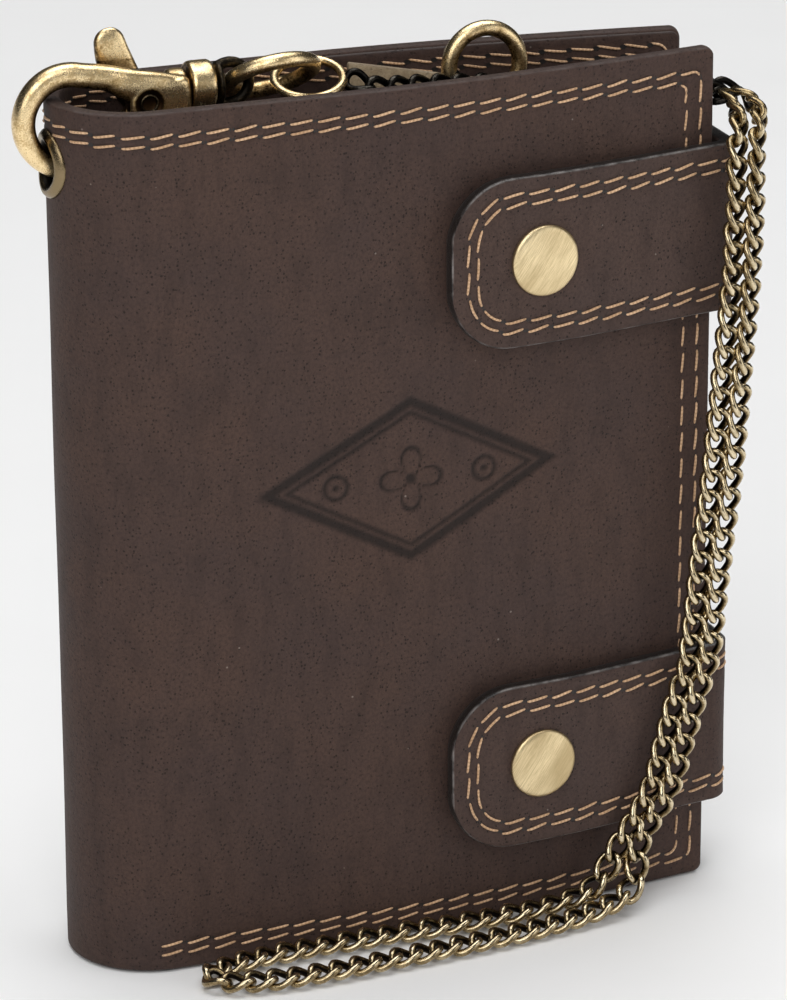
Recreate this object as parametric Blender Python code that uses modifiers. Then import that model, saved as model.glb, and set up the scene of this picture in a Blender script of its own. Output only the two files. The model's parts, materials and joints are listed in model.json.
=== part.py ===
"""A chain wallet: a tall bifold leather wallet standing on its bottom edge, closed by two
snap straps, with a trigger snap hooked through an eyelet in the spine and a curb chain.

The object's own layout is in millimetres: x runs from the spine's outer face to the fore-edge,
y from front to back with 0 in the middle of the closed wallet, z up from the bottom edge.
placed() moves it so that the origin is on the back cover's bottom edge, halfway along."""

import math

import bmesh
import bpy
from mathutils import Matrix, Vector

MM = 0.001
HEIGHT, WIDTH = 127.0, 96.2
SPINE_R, FORE_HALF = 12.05, 6.8  # half the closed thickness, at the spine and at the fore-edge
TAPER_FROM, TAPER_POWER = 0.45, 1.6
LEATHER = 2.2
LINING = 0.7
GAP = 0.3
LAY = 0.1  # air between two sheets that are sewn together
ORIGIN_X, ORIGIN_Y = 48.1, SPINE_R - LEATHER / 2
CORNER_R = 1.4
DIVIDER_DROP = 9.2  # how far the divider's top edge falls from the spine to the fore-edge

SPINE_CUTS = (112.5, 157.5, 202.5, 247.5)  # degrees round the spine's half circle

STRAP_H, STRAP_T, STRAP_END_R = 25.0, 2.2, 9.5
STRAPS = {"upper": 100.8, "lower": 24.8}  # height of each strap's middle
STRAP_TIP_X, STRAP_BASE_X, STRAP_SIDE_X = 53.2, 58.0, 98.5
STRAP_BEND_R = 2.6
SNAP_X = 67.3
CAP_R, CAP_RISE, SHANK_R = 5.1, 1.25, 1.5

EYELET_Z, EYELET_BORE, EYELET_R = 118.0, 3.1, 4.9
HOOK_C, HOOK_R, HOOK_WIRE = (3.2, 123.7), 6.6, 1.6
RIVET = (13.7, 125.9)
SWIVEL_Z = 126.9
EYE_X, EYE_R, EYE_WIRE = 26.2, 2.9, 0.85
RING_WIRE, RING_HALF, RING_WIDE, RING_RISE, RING_ROLL = 1.2, 6.1, 5.8, 4, -34
UPRIGHT = ((1, 0, 0), (0, 0, 1))
SMALL_R, SMALL_WIRE, SMALL_AXES = 4.8, 0.7, ((0.9945, 0, 0.1045), (-0.032, 0.952, 0.304))
END_RING_C, END_RING_R = (64.0, 0, 125.7), 5.3
CHAIN_R, CHAIN_INNER_R = 1.4, 0.95

COLOURS = {  # base colour, roughness, metallic
    "leather": ((0.065, 0.042, 0.035), 0.7, 0.0),
    "strap_leather": ((0.055, 0.035, 0.03), 0.7, 0.0),
    "lining_leather": ((0.08, 0.05, 0.04), 0.8, 0.0),
    "raw_leather": ((0.5, 0.34, 0.2), 0.8, 0.0),
    "pale_brass": ((0.6, 0.48, 0.27), 0.35, 1.0),
    "aged_brass": ((0.36, 0.27, 0.13), 0.4, 1.0),
    "dark_brass": ((0.1, 0.075, 0.04), 0.5, 1.0),
}


def clear_scene():
    for obj in list(bpy.data.objects):
        bpy.data.objects.remove(obj, do_unlink=True)


def new_collection(name):
    made = bpy.data.collections.new(name)
    bpy.context.scene.collection.children.link(made)
    return made


clear_scene()
PARTS = new_collection("chain_wallet")
CUTTERS = new_collection("cutters")
CUTTERS.hide_render = True


def principled(slot, node):
    colour, rough, metal = COLOURS[slot]
    made = bpy.data.materials.new(f"{node}_{slot}")
    made.use_nodes = True
    shader = made.node_tree.nodes["Principled BSDF"]
    shader.inputs["Base Color"].default_value = (*colour, 1)
    shader.inputs["Roughness"].default_value = rough
    shader.inputs["Metallic"].default_value = metal
    made.diffuse_color = (*colour, 1)
    return made


def placed(x, y, z):
    """A point of the layout, as metres from the origin."""
    return Vector((x - ORIGIN_X, y - ORIGIN_Y, z)) * MM


def to_object(name, bm, slot=None):
    """Makes an object of a bmesh held in layout millimetres. Without a slot it's a cutter."""
    bmesh.ops.recalc_face_normals(bm, faces=bm.faces)
    for vert in bm.verts:
        vert.co = placed(*vert.co)
    mesh = bpy.data.meshes.new(name)
    bm.to_mesh(mesh)
    bm.free()
    made = bpy.data.objects.new(name, mesh)
    if slot:
        PARTS.objects.link(made)
        mesh.materials.append(principled(slot, name))
    else:
        CUTTERS.objects.link(made)
        made.hide_render = True
        made.display_type = "WIRE"
    return made


def boolean(target, other, operation):
    step = target.modifiers.new(f"{operation.lower()}_{other.name}", "BOOLEAN")
    step.operation, step.object, step.solver = operation, other, "EXACT"
    return target


def half_thickness(x):
    """Half the closed wallet's thickness at x, to the cover's outer face."""
    along = min(max((x / WIDTH - TAPER_FROM) / (1 - TAPER_FROM), 0), 1)
    return SPINE_R - (SPINE_R - FORE_HALF) * along**TAPER_POWER


def outline_prism(bm, points, lo, hi, axis="y"):
    """A closed outline drawn across one axis and extruded along it from lo to hi."""
    lift = {
        "x": lambda a, b, c: (c, a, b),
        "y": lambda a, b, c: (a, c, b),
        "z": lambda a, b, c: (a, b, c),
    }[axis]
    face = bm.faces.new([bm.verts.new(lift(a, b, lo)) for a, b in points])
    grown = bmesh.ops.extrude_face_region(bm, geom=[face])["geom"]
    shift = Vector(lift(0, 0, hi - lo))
    bmesh.ops.translate(
        bm, vec=shift, verts=[g for g in grown if isinstance(g, bmesh.types.BMVert)]
    )


def arc(centre, radius, start, end, steps):
    """Points of an arc, angles in degrees."""
    return [
        (
            centre[0] + radius * math.cos(math.radians(start + (end - start) * i / steps)),
            centre[1] + radius * math.sin(math.radians(start + (end - start) * i / steps)),
        )
        for i in range(steps + 1)
    ]


def rounded_outline(x0, x1, z0, z1, left_r, right_r, steps=6):
    """A rectangle with its left and its right corners rounded. A radius of 0 is a sharp corner."""
    points = []
    corners = ((x1, z1, right_r, 0), (x0, z1, left_r, 90), (x0, z0, left_r, 180), (x1, z0, right_r, 270))
    for x, z, radius, start in corners:
        if radius:
            cx = x - math.copysign(radius, x - (x0 + x1) / 2)
            cz = z - math.copysign(radius, z - (z0 + z1) / 2)
            points += arc((cx, cz), radius, start, start + 90, steps)
        else:
            points.append((x, z))
    return points


def slab(name, outline):
    """A cutter: the outline, through the whole thickness of the wallet."""
    bm = bmesh.new()
    outline_prism(bm, outline, -40, 40)
    return to_object(name, bm)


def sheet(name, centreline, thickness, z0, z1, slot, outline=None):
    """A sheet standing on edge: its plan centreline thickened by a Solidify, trimmed to an outline."""
    bm = bmesh.new()
    low = [bm.verts.new((x, y, z0)) for x, y in centreline]
    edges = [bm.edges.new(pair) for pair in zip(low, low[1:])]
    grown = bmesh.ops.extrude_edge_only(bm, edges=edges)["geom"]
    bmesh.ops.translate(
        bm, vec=(0, 0, z1 - z0), verts=[g for g in grown if isinstance(g, bmesh.types.BMVert)]
    )
    made = to_object(name, bm, slot)
    solid = made.modifiers.new("thickness", "SOLIDIFY")
    solid.thickness, solid.offset = thickness * MM, 0
    solid.use_even_offset = True
    if outline:
        boolean(made, slab(f"{name}_outline", outline), "INTERSECT")
    return made


def cover_line(side, depth, x0, x1, steps=12):
    """Plan line at a depth below one cover's outer face. side is -1 for the front, 1 for the back."""
    return [
        (x, side * (half_thickness(x) - depth))
        for x in (x0 + (x1 - x0) * i / steps for i in range(steps + 1))
    ]


def spine_line(start, end, depth, steps):
    return arc((SPINE_R, 0), SPINE_R - depth, start, end, steps)


def disc(bm, radius, x, z, y0, y1, segments=20):
    """A round plate or post standing along y."""
    outline_prism(bm, arc((x, z), radius, 0, 360 - 360 / segments, segments - 1), y0, y1)


def lean(bm):
    """Turns a snap's piece from facing straight forward to square with the tapering cover."""
    slope = (half_thickness(SNAP_X - 1) - half_thickness(SNAP_X + 1)) / 2
    bmesh.ops.rotate(
        bm,
        verts=bm.verts,
        cent=(SNAP_X, -half_thickness(SNAP_X), 0),
        matrix=Matrix.Rotation(math.atan(slope), 3, "Z"),
    )


def snap_disc(name, radius, z, y0, y1, slot=None):
    bm = bmesh.new()
    disc(bm, radius, SNAP_X, z, y0, y1)
    lean(bm)
    return to_object(name, bm, slot)


def covers_and_spine():
    half_gap = math.degrees(GAP / 2 / SPINE_R)
    cuts = SPINE_CUTS
    outline = rounded_outline(-5, WIDTH, 0, HEIGHT, 0, CORNER_R)
    rear = spine_line(cuts[0] - half_gap, 90, LEATHER / 2, 3)[:-1]
    rear += cover_line(1, LEATHER / 2, SPINE_R, WIDTH + 2)
    sheet("back_cover", rear, LEATHER, 0, HEIGHT, "leather", outline)
    front = [(x, -y) for x, y in rear]
    cover = sheet("front_cover", front, LEATHER, 0, HEIGHT, "leather", outline)
    for i, name in enumerate(("spine_rear", "spine_mid", "spine_front")):
        line = spine_line(cuts[i] + half_gap, cuts[i + 1] - half_gap, LEATHER / 2, 5)
        made = sheet(name, line, LEATHER, 0, HEIGHT, "leather")
        if name == "spine_mid":
            bm = bmesh.new()
            outline_prism(bm, arc((0, EYELET_Z), EYELET_BORE + 0.65, 0, 345, 23), -5, 8, "x")
            boolean(made, to_object("eyelet_hole", bm), "DIFFERENCE")
    for label, z in STRAPS.items():
        boolean(cover, snap_disc(f"stud_hole_{label}", SHANK_R + GAP, z, -20, 0), "DIFFERENCE")


def inner_sheets():
    """Linings, card slots and note pocket. Each lies against the one before it."""
    # name, side, sheets below it, thickness, x0, x1, z0, z1, material
    rows = (
        ("back_lining", 1, 0.0, LINING, 15, 95.6, 0.4, 126.6, "lining_leather"),
        ("note_pocket", 1, 0.8, LINING, 17, 93, 1.5, 108.0, "lining_leather"),
        ("document_pocket", 1, 1.6, LINING, 24, 92, 1.5, 86.0, "lining_leather"),
        ("note_divider", 1, 2.4, 0.9, 46, 92, 1.5, 126.2, "raw_leather"),
        ("front_lining", -1, 0.0, LINING, 15, 95.6, 0.4, 126.6, "lining_leather"),
        ("card_slot_top", -1, 1.3, LINING, 24, 92, 1.5, 100.0, "lining_leather"),
        ("card_slot_middle", -1, 2.1, LINING, 24, 92, 1.5, 86.0, "lining_leather"),
        ("card_slot_bottom", -1, 2.9, LINING, 24, 92, 1.5, 72.0, "lining_leather"),
    )
    for name, side, below, thick, x0, x1, z0, z1, slot in rows:
        depth = LEATHER + LAY + below + thick / 2
        outline = rounded_outline(x0, x1, z0, z1, 0, CORNER_R, 4)
        if name == "note_divider":
            outline = [(x0, z0), (x1, z0), (x1, z1 - DIVIDER_DROP), (x0, z1)]
        made = sheet(
            name,
            cover_line(side, depth, x0 - 1, x1 + 1),
            thick,
            z0,
            z1,
            slot,
            outline,
        )
        if side < 0 and below < 0.5:
            for label, z in STRAPS.items():
                boolean(made, snap_disc(f"post_window_{label}", 4.2, z, -20, 0), "DIFFERENCE")


def strap_front_y(x):
    """The strap's middle on the front: close to the cover at the fore-edge, lifted at the snap."""
    lift = min(max((92 - x) / (92 - SNAP_X - CAP_R), 0), 1)
    return -(half_thickness(x) + 0.4 + 1.2 * lift + STRAP_T / 2)


def strap_lines():
    """The strap's plan line in its three lengths: on the back cover, round the fore-edge, in front."""
    r, side_x = STRAP_BEND_R, STRAP_SIDE_X
    back_y = half_thickness(side_x) + GAP + STRAP_T / 2
    front_y = strap_front_y(side_x)
    rear_bend = arc((side_x - r, back_y - r), r, 90, 0, 8)
    front_bend = arc((side_x - r, front_y + r), r, 0, -90, 8)
    xs = [STRAP_BASE_X + (side_x - r - STRAP_BASE_X) * i / 8 for i in range(8)]
    base = [(x, half_thickness(x) + GAP + STRAP_T / 2) for x in xs]
    xs = [side_x - r - (side_x - r - STRAP_TIP_X + 1) * i / 10 for i in range(1, 11)]
    tab = [(x, strap_front_y(x)) for x in xs]
    side = rear_bend[5:] + front_bend[:4]
    return base + rear_bend[:4], side, front_bend[5:] + tab, rear_bend[4], front_bend[4]


def shortened(line, at_start, at_end):
    """The line with its first or last point pulled in, to leave the gap at a fold."""
    line = [Vector(p) for p in line]
    if at_start:
        line[0] += (line[1] - line[0]).normalized() * at_start
    if at_end:
        line[-1] += (line[-2] - line[-1]).normalized() * at_end
    return [tuple(p) for p in line]


def straps():
    base, side, tab, rear_fold, front_fold = strap_lines()
    pull = GAP / 2
    base = shortened(base + [rear_fold], 0, pull)
    side = shortened([rear_fold] + side + [front_fold], pull, pull)
    tab = shortened([front_fold] + tab, pull, 0)
    for label, z in STRAPS.items():
        z0, z1 = z - STRAP_H / 2, z + STRAP_H / 2
        tip = rounded_outline(STRAP_TIP_X, 120, z0, z1, STRAP_END_R, 0, 8)
        end = rounded_outline(STRAP_BASE_X, 120, z0, z1, 2.0, 0, 4)
        sheet(f"strap_{label}_base", base, STRAP_T, z0, z1, "strap_leather", end)
        sheet(f"strap_{label}_side", side, STRAP_T, z0, z1, "strap_leather")
        made = sheet(f"strap_{label}_tab", tab, STRAP_T, z0, z1, "strap_leather", tip)
        boolean(made, snap_disc(f"cap_hole_{label}", SHANK_R + GAP, z, -30, 0), "DIFFERENCE")
        snap(label, z)


def snap(label, z):
    """One snap: cap and socket on the strap, stud and post on the front cover."""
    face = -half_thickness(SNAP_X)
    tab_in = strap_front_y(SNAP_X) + STRAP_T / 2
    tab_out = tab_in - STRAP_T
    bm = bmesh.new()
    rim = [(CAP_R, 0.15), (CAP_R + 0.05, 0.5), (CAP_R - 0.35, 0.8)]
    profile = [(0, 0.15)] + rim + [(CAP_R * 0.6, CAP_RISE - 0.12), (0, CAP_RISE)]
    verts = [bm.verts.new((SNAP_X + r, tab_out - rise, z)) for r, rise in profile]
    edges = [bm.edges.new(pair) for pair in zip(verts, verts[1:])]
    bmesh.ops.spin(
        bm,
        geom=verts + edges,
        cent=(SNAP_X, 0, z),
        axis=(0, 1, 0),
        angle=math.tau,
        steps=24,
        use_merge=True,
    )
    bmesh.ops.remove_doubles(bm, verts=bm.verts, dist=0.001)
    lean(bm)
    cap = to_object(f"snap_cap_{label}", bm, "pale_brass")
    boolean(cap, snap_disc(f"shank_{label}", SHANK_R, z, tab_out - 0.4, tab_in), "UNION")
    socket = snap_disc(f"snap_socket_{label}", 4.6, z, tab_in + LAY, face - 0.75, "dark_brass")
    boolean(socket, snap_disc(f"socket_hollow_{label}", 2.3, z, -30, 0), "DIFFERENCE")
    stud = snap_disc(f"snap_stud_{label}", 3.8, z, face - 0.65, face - LAY, "dark_brass")
    boolean(stud, snap_disc(f"stud_head_{label}", 1.9, z, tab_in + 0.25, face - 0.5), "UNION")
    inside = face + LEATHER
    post = snap_disc(f"snap_post_{label}", 3.8, z, inside + LAY, inside + 0.65, "dark_brass")
    boolean(post, snap_disc(f"post_shank_{label}", SHANK_R, z, face + 0.05, inside + 0.3), "UNION")


def eyelet():
    """A rolled eyelet through the spine, with its washer inside."""
    bm = bmesh.new()
    outline_prism(bm, arc((0, EYELET_Z), EYELET_R, 0, 345, 23), -0.9, -LAY, "x")
    flange = to_object("eyelet", bm, "dark_brass")
    bm = bmesh.new()
    outline_prism(bm, arc((0, EYELET_Z), EYELET_BORE + 0.35, 0, 345, 23), -0.5, LEATHER + 1.5, "x")
    boolean(flange, to_object("eyelet_barrel", bm), "UNION")
    bm = bmesh.new()
    outline_prism(bm, arc((0, EYELET_Z), EYELET_BORE, 0, 345, 23), -5, 8, "x")
    boolean(flange, to_object("eyelet_bore", bm), "DIFFERENCE")
    bm = bmesh.new()
    outline_prism(bm, arc((0, EYELET_Z), EYELET_R - 0.9, 0, 345, 23), LEATHER + 0.95, LEATHER + 1.45, "x")
    washer = to_object("eyelet_washer", bm, "dark_brass")
    bm = bmesh.new()
    outline_prism(bm, arc((0, EYELET_Z), EYELET_BORE + 0.65, 0, 345, 23), -5, 8, "x")
    boolean(washer, to_object("washer_bore", bm), "DIFFERENCE")


def tube(name, points, radius, slot=None, sides=8):
    """A rod along a line of points, closed at both ends."""
    bm = bmesh.new()
    points = [Vector(p) for p in points]
    rings = []
    side = Vector((0, 1, 0))
    for i, here in enumerate(points):
        along = (points[min(i + 1, len(points) - 1)] - points[max(i - 1, 0)]).normalized()
        side = (side - along * side.dot(along)).normalized()
        up = along.cross(side)
        circle = bmesh.ops.create_circle(bm, segments=sides, radius=radius)["verts"]
        frame = Matrix((side, up, along)).transposed().to_4x4()
        bmesh.ops.transform(bm, matrix=Matrix.Translation(here) @ frame, verts=circle)
        rings.append(circle)
    for ring, following in zip(rings, rings[1:]):
        loops = [bm.edges.get((ring[i], ring[(i + 1) % sides])) for i in range(sides)]
        loops += [bm.edges.get((following[i], following[(i + 1) % sides])) for i in range(sides)]
        bmesh.ops.bridge_loops(bm, edges=loops)
    for end in (rings[0], rings[-1]):
        bm.faces.new(end)
    return to_object(name, bm, slot)


def ring(name, centre, half_x, half_y, wire, axes, slot, steps=24):
    """A closed oval ring of round wire. axes are the directions of its two half-axes."""
    bm = bmesh.new()
    long, wide = (Vector(a).normalized() for a in axes)
    spin = Matrix((long, wide, long.cross(wide))).transposed()
    circles = []
    for i in range(steps):
        at = math.tau * i / steps
        here = Vector((half_x * math.cos(at), half_y * math.sin(at), 0))
        out = Vector((half_y * math.cos(at), half_x * math.sin(at), 0)).normalized()
        circles.append(
            [
                bm.verts.new(
                    Vector(centre)
                    + spin @ (here + wire * (out * math.cos(q) + Vector((0, 0, 1)) * math.sin(q)))
                )
                for q in (math.tau * k / 8 for k in range(8))
            ]
        )
        for k in range(8):
            bm.edges.new((circles[-1][k], circles[-1][(k + 1) % 8]))
    for a, b in zip(circles, circles[1:] + circles[:1]):
        loops = [bm.edges.get((c[k], c[(k + 1) % 8])) for c in (a, b) for k in range(8)]
        bmesh.ops.bridge_loops(bm, edges=loops)
    return to_object(name, bm, slot)


def trigger_snap():
    """The hook, its gate with the thumb lever, the rivet and the swivel."""
    hook_line = [(x, 0, z) for x, z in arc(HOOK_C, HOOK_R, 20, 272, 18)]
    hook = tube("hook_body", hook_line, HOOK_WIRE, "aged_brass", 10)
    bm = bmesh.new()
    plate = [(8.2, 122.8), (8.8, 127.6), (11.0, 130.2), (15, 129.7), (19.7, 129.3), (19.7, 123.6)]
    plate += [(17.5, 121.8), (14.5, 120.9), (11.0, 121.0)]
    outline_prism(bm, plate, -3.0, -1.1)
    boolean(hook, to_object("hook_cheek", bm), "UNION")
    bm = bmesh.new()
    outline_prism(bm, rounded_outline(8.2, 11.2, 125.4, 129.2, 1.2, 1.2, 3), -1.4, 1.4)
    boolean(hook, to_object("hook_shoulder", bm), "UNION")
    bm = bmesh.new()
    outline_prism(bm, arc((0, SWIVEL_Z), 2.8, 0, 342, 19), 17.4, 19.7, "x")
    boolean(hook, to_object("hook_neck", bm), "UNION")
    bm = bmesh.new()
    outline_prism(bm, arc((0, SWIVEL_Z), 1.85, 0, 337.5, 15), 18.0, 25, "x")
    boolean(hook, to_object("swivel_socket", bm), "DIFFERENCE")
    bm = bmesh.new()
    disc(bm, 1.35, *RIVET, -8, 8)
    boolean(hook, to_object("rivet_hole", bm), "DIFFERENCE")

    bm = bmesh.new()
    bar = [(6.3, 117.2), (7.6, 116.4), (14.0, 123.0), (15.2, 126.2), (12.4, 126.2), (6.3, 119.7)]
    outline_prism(bm, bar, -0.8, 1.2)
    gate = to_object("hook_gate", bm, "aged_brass")
    bm = bmesh.new()
    disc(bm, 2.1, *RIVET, -0.7, 4.1)
    boolean(gate, to_object("gate_barrel", bm), "UNION")
    bm = bmesh.new()
    lever = [(15.4, 124.8), (13.9, 129.2)] + arc((9.9, 133.4), 2.2, 10, 205, 10) + [(9.8, 129.4), (12.0, 124.4)]
    outline_prism(bm, lever, 2.0, 4.2)
    boolean(gate, to_object("gate_lever", bm), "UNION")
    bm = bmesh.new()
    disc(bm, 1.35, *RIVET, -8, 8)
    boolean(gate, to_object("gate_hole", bm), "DIFFERENCE")

    bm = bmesh.new()
    disc(bm, 1.1, *RIVET, -3.1, 4.6, 12)
    rivet = to_object("hook_rivet", bm, "dark_brass")
    bm = bmesh.new()
    disc(bm, 1.8, *RIVET, -3.6, -3.06, 16)
    boolean(rivet, to_object("rivet_head", bm), "UNION")

    bm = bmesh.new()
    outline_prism(bm, arc((0, SWIVEL_Z), 3.4, 0, 342, 19), 20.1, 24.4, "x")
    swivel = to_object("swivel", bm, "aged_brass")
    bm = bmesh.new()
    outline_prism(bm, arc((0, SWIVEL_Z), 1.5, 0, 330, 11), 18.3, 20.3, "x")
    boolean(swivel, to_object("swivel_pin", bm), "UNION")
    bm = bmesh.new()
    outline_prism(bm, arc((0, SWIVEL_Z), 1.3, 0, 330, 11), 24.2, 24.9, "x")
    boolean(swivel, to_object("swivel_post", bm), "UNION")
    eye = ring("swivel_eye", (EYE_X, 0, SWIVEL_Z), EYE_R, EYE_R, EYE_WIRE, UPRIGHT, None, 16)
    boolean(swivel, eye, "UNION")


def rings():
    """The swivel's oval ring rolled over on its side, the round ring through it, and the chain's end ring."""
    rise, roll = math.radians(RING_RISE), math.radians(RING_ROLL)
    along = Vector((math.cos(rise), 0, math.sin(rise)))
    wide = math.cos(roll) * Vector((0, 1, 0)) + math.sin(roll) * along.cross(Vector((0, 1, 0)))
    eye = Vector((EYE_X, 0, SWIVEL_Z))
    ring("ring_large", eye + along * RING_HALF, RING_HALF, RING_WIDE, RING_WIRE, (along, wide), "aged_brass")
    centre = eye + along * 2 * RING_HALF + Vector((-0.5, 0, -1.45))
    ring("ring_small", centre, SMALL_R, SMALL_R, SMALL_WIRE, SMALL_AXES, "aged_brass", 20)
    ring("end_ring", END_RING_C, END_RING_R, END_RING_R, 1.1, UPRIGHT, "aged_brass")
    low = math.radians(20)
    down = math.cos(low) * Vector(SMALL_AXES[0]) - math.sin(low) * Vector(SMALL_AXES[1])
    across = Vector(SMALL_AXES[0]).cross(Vector(SMALL_AXES[1]))
    ring("start_link", centre + down * (SMALL_R + 1.0), 2.4, 1.9, 0.45, (down, across), "dark_brass", 12)
    low = Vector(END_RING_C) - Vector((0, 0, END_RING_R))
    drop = Vector((math.cos(math.radians(80)), 0, -math.sin(math.radians(80))))
    ring("end_link", low + drop * 0.85, 2.7, 2.0, 0.45, (drop, (0, 1, 0)), "dark_brass", 12)


def chain():
    """The doubled chain, one rod per run of it: inside, falling at the fore-edge, along the floor."""
    start = [(46.5, -3.6, 124.9), (54.7, -3.4, 124.4), (62.4, -3.4, 123.7), (66.7, -3.4, 123.2)]
    start += [(78, -3.4, 121.6), (90, -3.1, 119.8), (97.2, -2.9, 119.2)]
    back = [(66.4, -0.1, 117.0), (72, -0.3, 118.0), (80, -0.4, 119.0), (90, -0.6, 119.4), (97.2, -0.6, 119.2)]
    tube("chain_inner_a", start, CHAIN_INNER_R, "dark_brass")
    tube("chain_inner_b", back, CHAIN_INNER_R, "dark_brass")
    fall = [(100.6, -6.6, 118.0), (100.4, -9.4, 117.0), (99.1, -12.1, 114.4), (98.5, -13.2, 107.3)]
    fall += [(98.0, -13.2, 92.6), (96.7, -13.2, 77.7), (95.4, -13.1, 62.6), (94.7, -13.0, 56.2)]
    lower = [(94.4, -13.0, 55.4), (93.3, -13.0, 43.8), (92.2, -13.2, 36), (90.5, -13.4, 31.6)]
    lower += [(88.5, -13.6, 24.8), (86.0, -14.0, 17.4), (81.4, -14.3, 10)]
    shift = Vector((2.95, -0.2, 0))
    tube("chain_fall_a", [Vector(p) - shift / 2 for p in fall], CHAIN_R, "aged_brass")
    tube("chain_fall_b", [Vector(p) + shift / 2 for p in fall], CHAIN_R, "aged_brass")
    floor_a = [(75, -15, 4), (68, -14.8, 2.2), (58, -14.5, 1.6), (42, -14.6, 1.6), (30, -14.9, 1.6)]
    turn = [(22, -15.6, 1.6), (16.5, -17.4, 1.6), (15.2, -19.4, 1.6), (16.8, -21.6, 1.6), (22, -23, 1.6)]
    floor_b = [(30, -23.4, 1.6), (42, -22.6, 1.6), (56, -21.4, 1.6), (66, -20, 1.6)]
    floor_b += [(74, -18.6, 2), (80.5, -17, 4)]
    line = [Vector(p) - shift / 2 for p in lower]
    line += [Vector(p) for p in floor_a + turn + floor_b]
    line += [Vector(p) + shift / 2 for p in reversed(lower)]
    tube("chain_lower", line, CHAIN_R, "aged_brass")


covers_and_spine()
inner_sheets()
straps()
eyelet()
trigger_snap()
rings()
chain()
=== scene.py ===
"""The chain wallet's looks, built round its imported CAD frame.

Shapes are worked out in millimetres on the wallet's own layout: x from the spine's outer face to
the fore-edge, y from front to back with 0 in the middle of the closed wallet, z up from the bottom
edge. world() turns a layout point into the row frame's metres."""

import json
import math
import random

import bmesh
import bpy
import numpy as np
from mathutils import Matrix, Vector, noise

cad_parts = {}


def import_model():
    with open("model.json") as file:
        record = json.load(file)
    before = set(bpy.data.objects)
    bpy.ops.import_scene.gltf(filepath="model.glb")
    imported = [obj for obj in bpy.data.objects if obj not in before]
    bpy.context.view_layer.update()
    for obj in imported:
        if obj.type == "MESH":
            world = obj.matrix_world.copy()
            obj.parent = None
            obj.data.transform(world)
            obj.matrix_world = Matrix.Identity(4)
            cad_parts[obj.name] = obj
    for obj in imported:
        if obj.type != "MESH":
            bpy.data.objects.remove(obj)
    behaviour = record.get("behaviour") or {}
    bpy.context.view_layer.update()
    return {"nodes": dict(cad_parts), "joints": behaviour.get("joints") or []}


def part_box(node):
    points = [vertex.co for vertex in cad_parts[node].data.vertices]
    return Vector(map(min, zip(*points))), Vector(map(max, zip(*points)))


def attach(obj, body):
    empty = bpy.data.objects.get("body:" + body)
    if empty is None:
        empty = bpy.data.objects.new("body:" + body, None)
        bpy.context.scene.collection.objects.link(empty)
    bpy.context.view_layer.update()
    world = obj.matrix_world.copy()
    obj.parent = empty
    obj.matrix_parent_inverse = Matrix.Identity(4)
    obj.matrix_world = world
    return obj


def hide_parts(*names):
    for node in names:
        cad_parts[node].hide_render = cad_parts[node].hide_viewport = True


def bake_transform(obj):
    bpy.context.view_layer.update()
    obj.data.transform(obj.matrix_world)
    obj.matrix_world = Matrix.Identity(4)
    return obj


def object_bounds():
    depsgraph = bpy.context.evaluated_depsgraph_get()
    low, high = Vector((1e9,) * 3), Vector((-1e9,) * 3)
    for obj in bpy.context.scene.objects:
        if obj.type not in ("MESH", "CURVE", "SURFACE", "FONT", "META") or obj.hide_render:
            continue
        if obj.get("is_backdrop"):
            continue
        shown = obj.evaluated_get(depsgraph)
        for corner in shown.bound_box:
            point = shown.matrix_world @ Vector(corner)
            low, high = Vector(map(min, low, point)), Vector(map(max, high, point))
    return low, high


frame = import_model()
MM = 0.001

# ---- sizes, read from the CAD

FRONT_LO, FRONT_HI = (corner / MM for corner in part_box("front_cover"))
BACK_LO, BACK_HI = (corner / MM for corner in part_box("back_cover"))
SPINE_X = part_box("spine_mid")[0].x / MM
MID_Y = (FRONT_LO.y + BACK_HI.y) / 2
HEIGHT = BACK_HI.z
WIDTH = FRONT_HI.x - SPINE_X
SPINE_R = (BACK_HI.y - FRONT_LO.y) / 2
LEATHER = 2.2
LINING_DEPTH = 3.0
FORE_HALF, TAPER_FROM, TAPER_POWER = 6.8, 0.45, 1.6
CORNER_R = 1.4

STRAP_T, STRAP_BEND_R, STRAP_END_R = 2.2, 2.6, 9.5
STRAP_GAP_FORE, STRAP_LIFT = 0.4, 1.2
THREAD_R, STITCH_PITCH, STITCH_LENGTH = 0.19, 4.0, 3.65
STITCH_POINTS = 8  # along each stitch
HOLE_LONG, HOLE_WIDE = 0.46, 0.33  # half a needle hole
SEAM_R = 1.3  # where a row turns a corner
ROW_TOP, ROW_FORE, ROW_BOTTOM = COVER_ROWS = (3.4, 4.8), (2.2, 4.6), (2.7, 4.1)
BACK_RAISE = 1.2  # the back cover's top rows run this much nearer its edge
STRAP_ROWS = (2.5, 4.0)
CHAIN_PITCH, CHAIN_WIRE = 3.15, 0.53


def joint(name):
    return next(j for j in frame["joints"] if j["name"] == name)


def world(x, y, z):
    return Vector((x + SPINE_X, y + MID_Y, z)) * MM


def layout(point):
    """A row-frame point in metres, as layout millimetres."""
    x, y, z = (c / MM for c in point)
    return Vector((x - SPINE_X, y - MID_Y, z))


def middle(node):
    return sum(layout_box(node), Vector()) / 2


def layout_box(node):
    return [layout(corner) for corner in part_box(node)]


def share(value, start, end):
    """How far a value has come from start to end, from 0 to 1."""
    return min(max((value - start) / (end - start), 0), 1)


def bell(distance, width):
    return math.exp(-((distance / width) ** 2))


def ripple(s, z, size, seed):
    """A slow wave over a face, between about -1 and 1."""
    return noise.noise(Vector((s / size, z / size, seed)))


def stand_in(piece, body, *nodes):
    """Puts a piece on its body, in place of the CAD nodes it stands for."""
    if nodes:
        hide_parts(*nodes)
    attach(piece, body)


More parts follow.
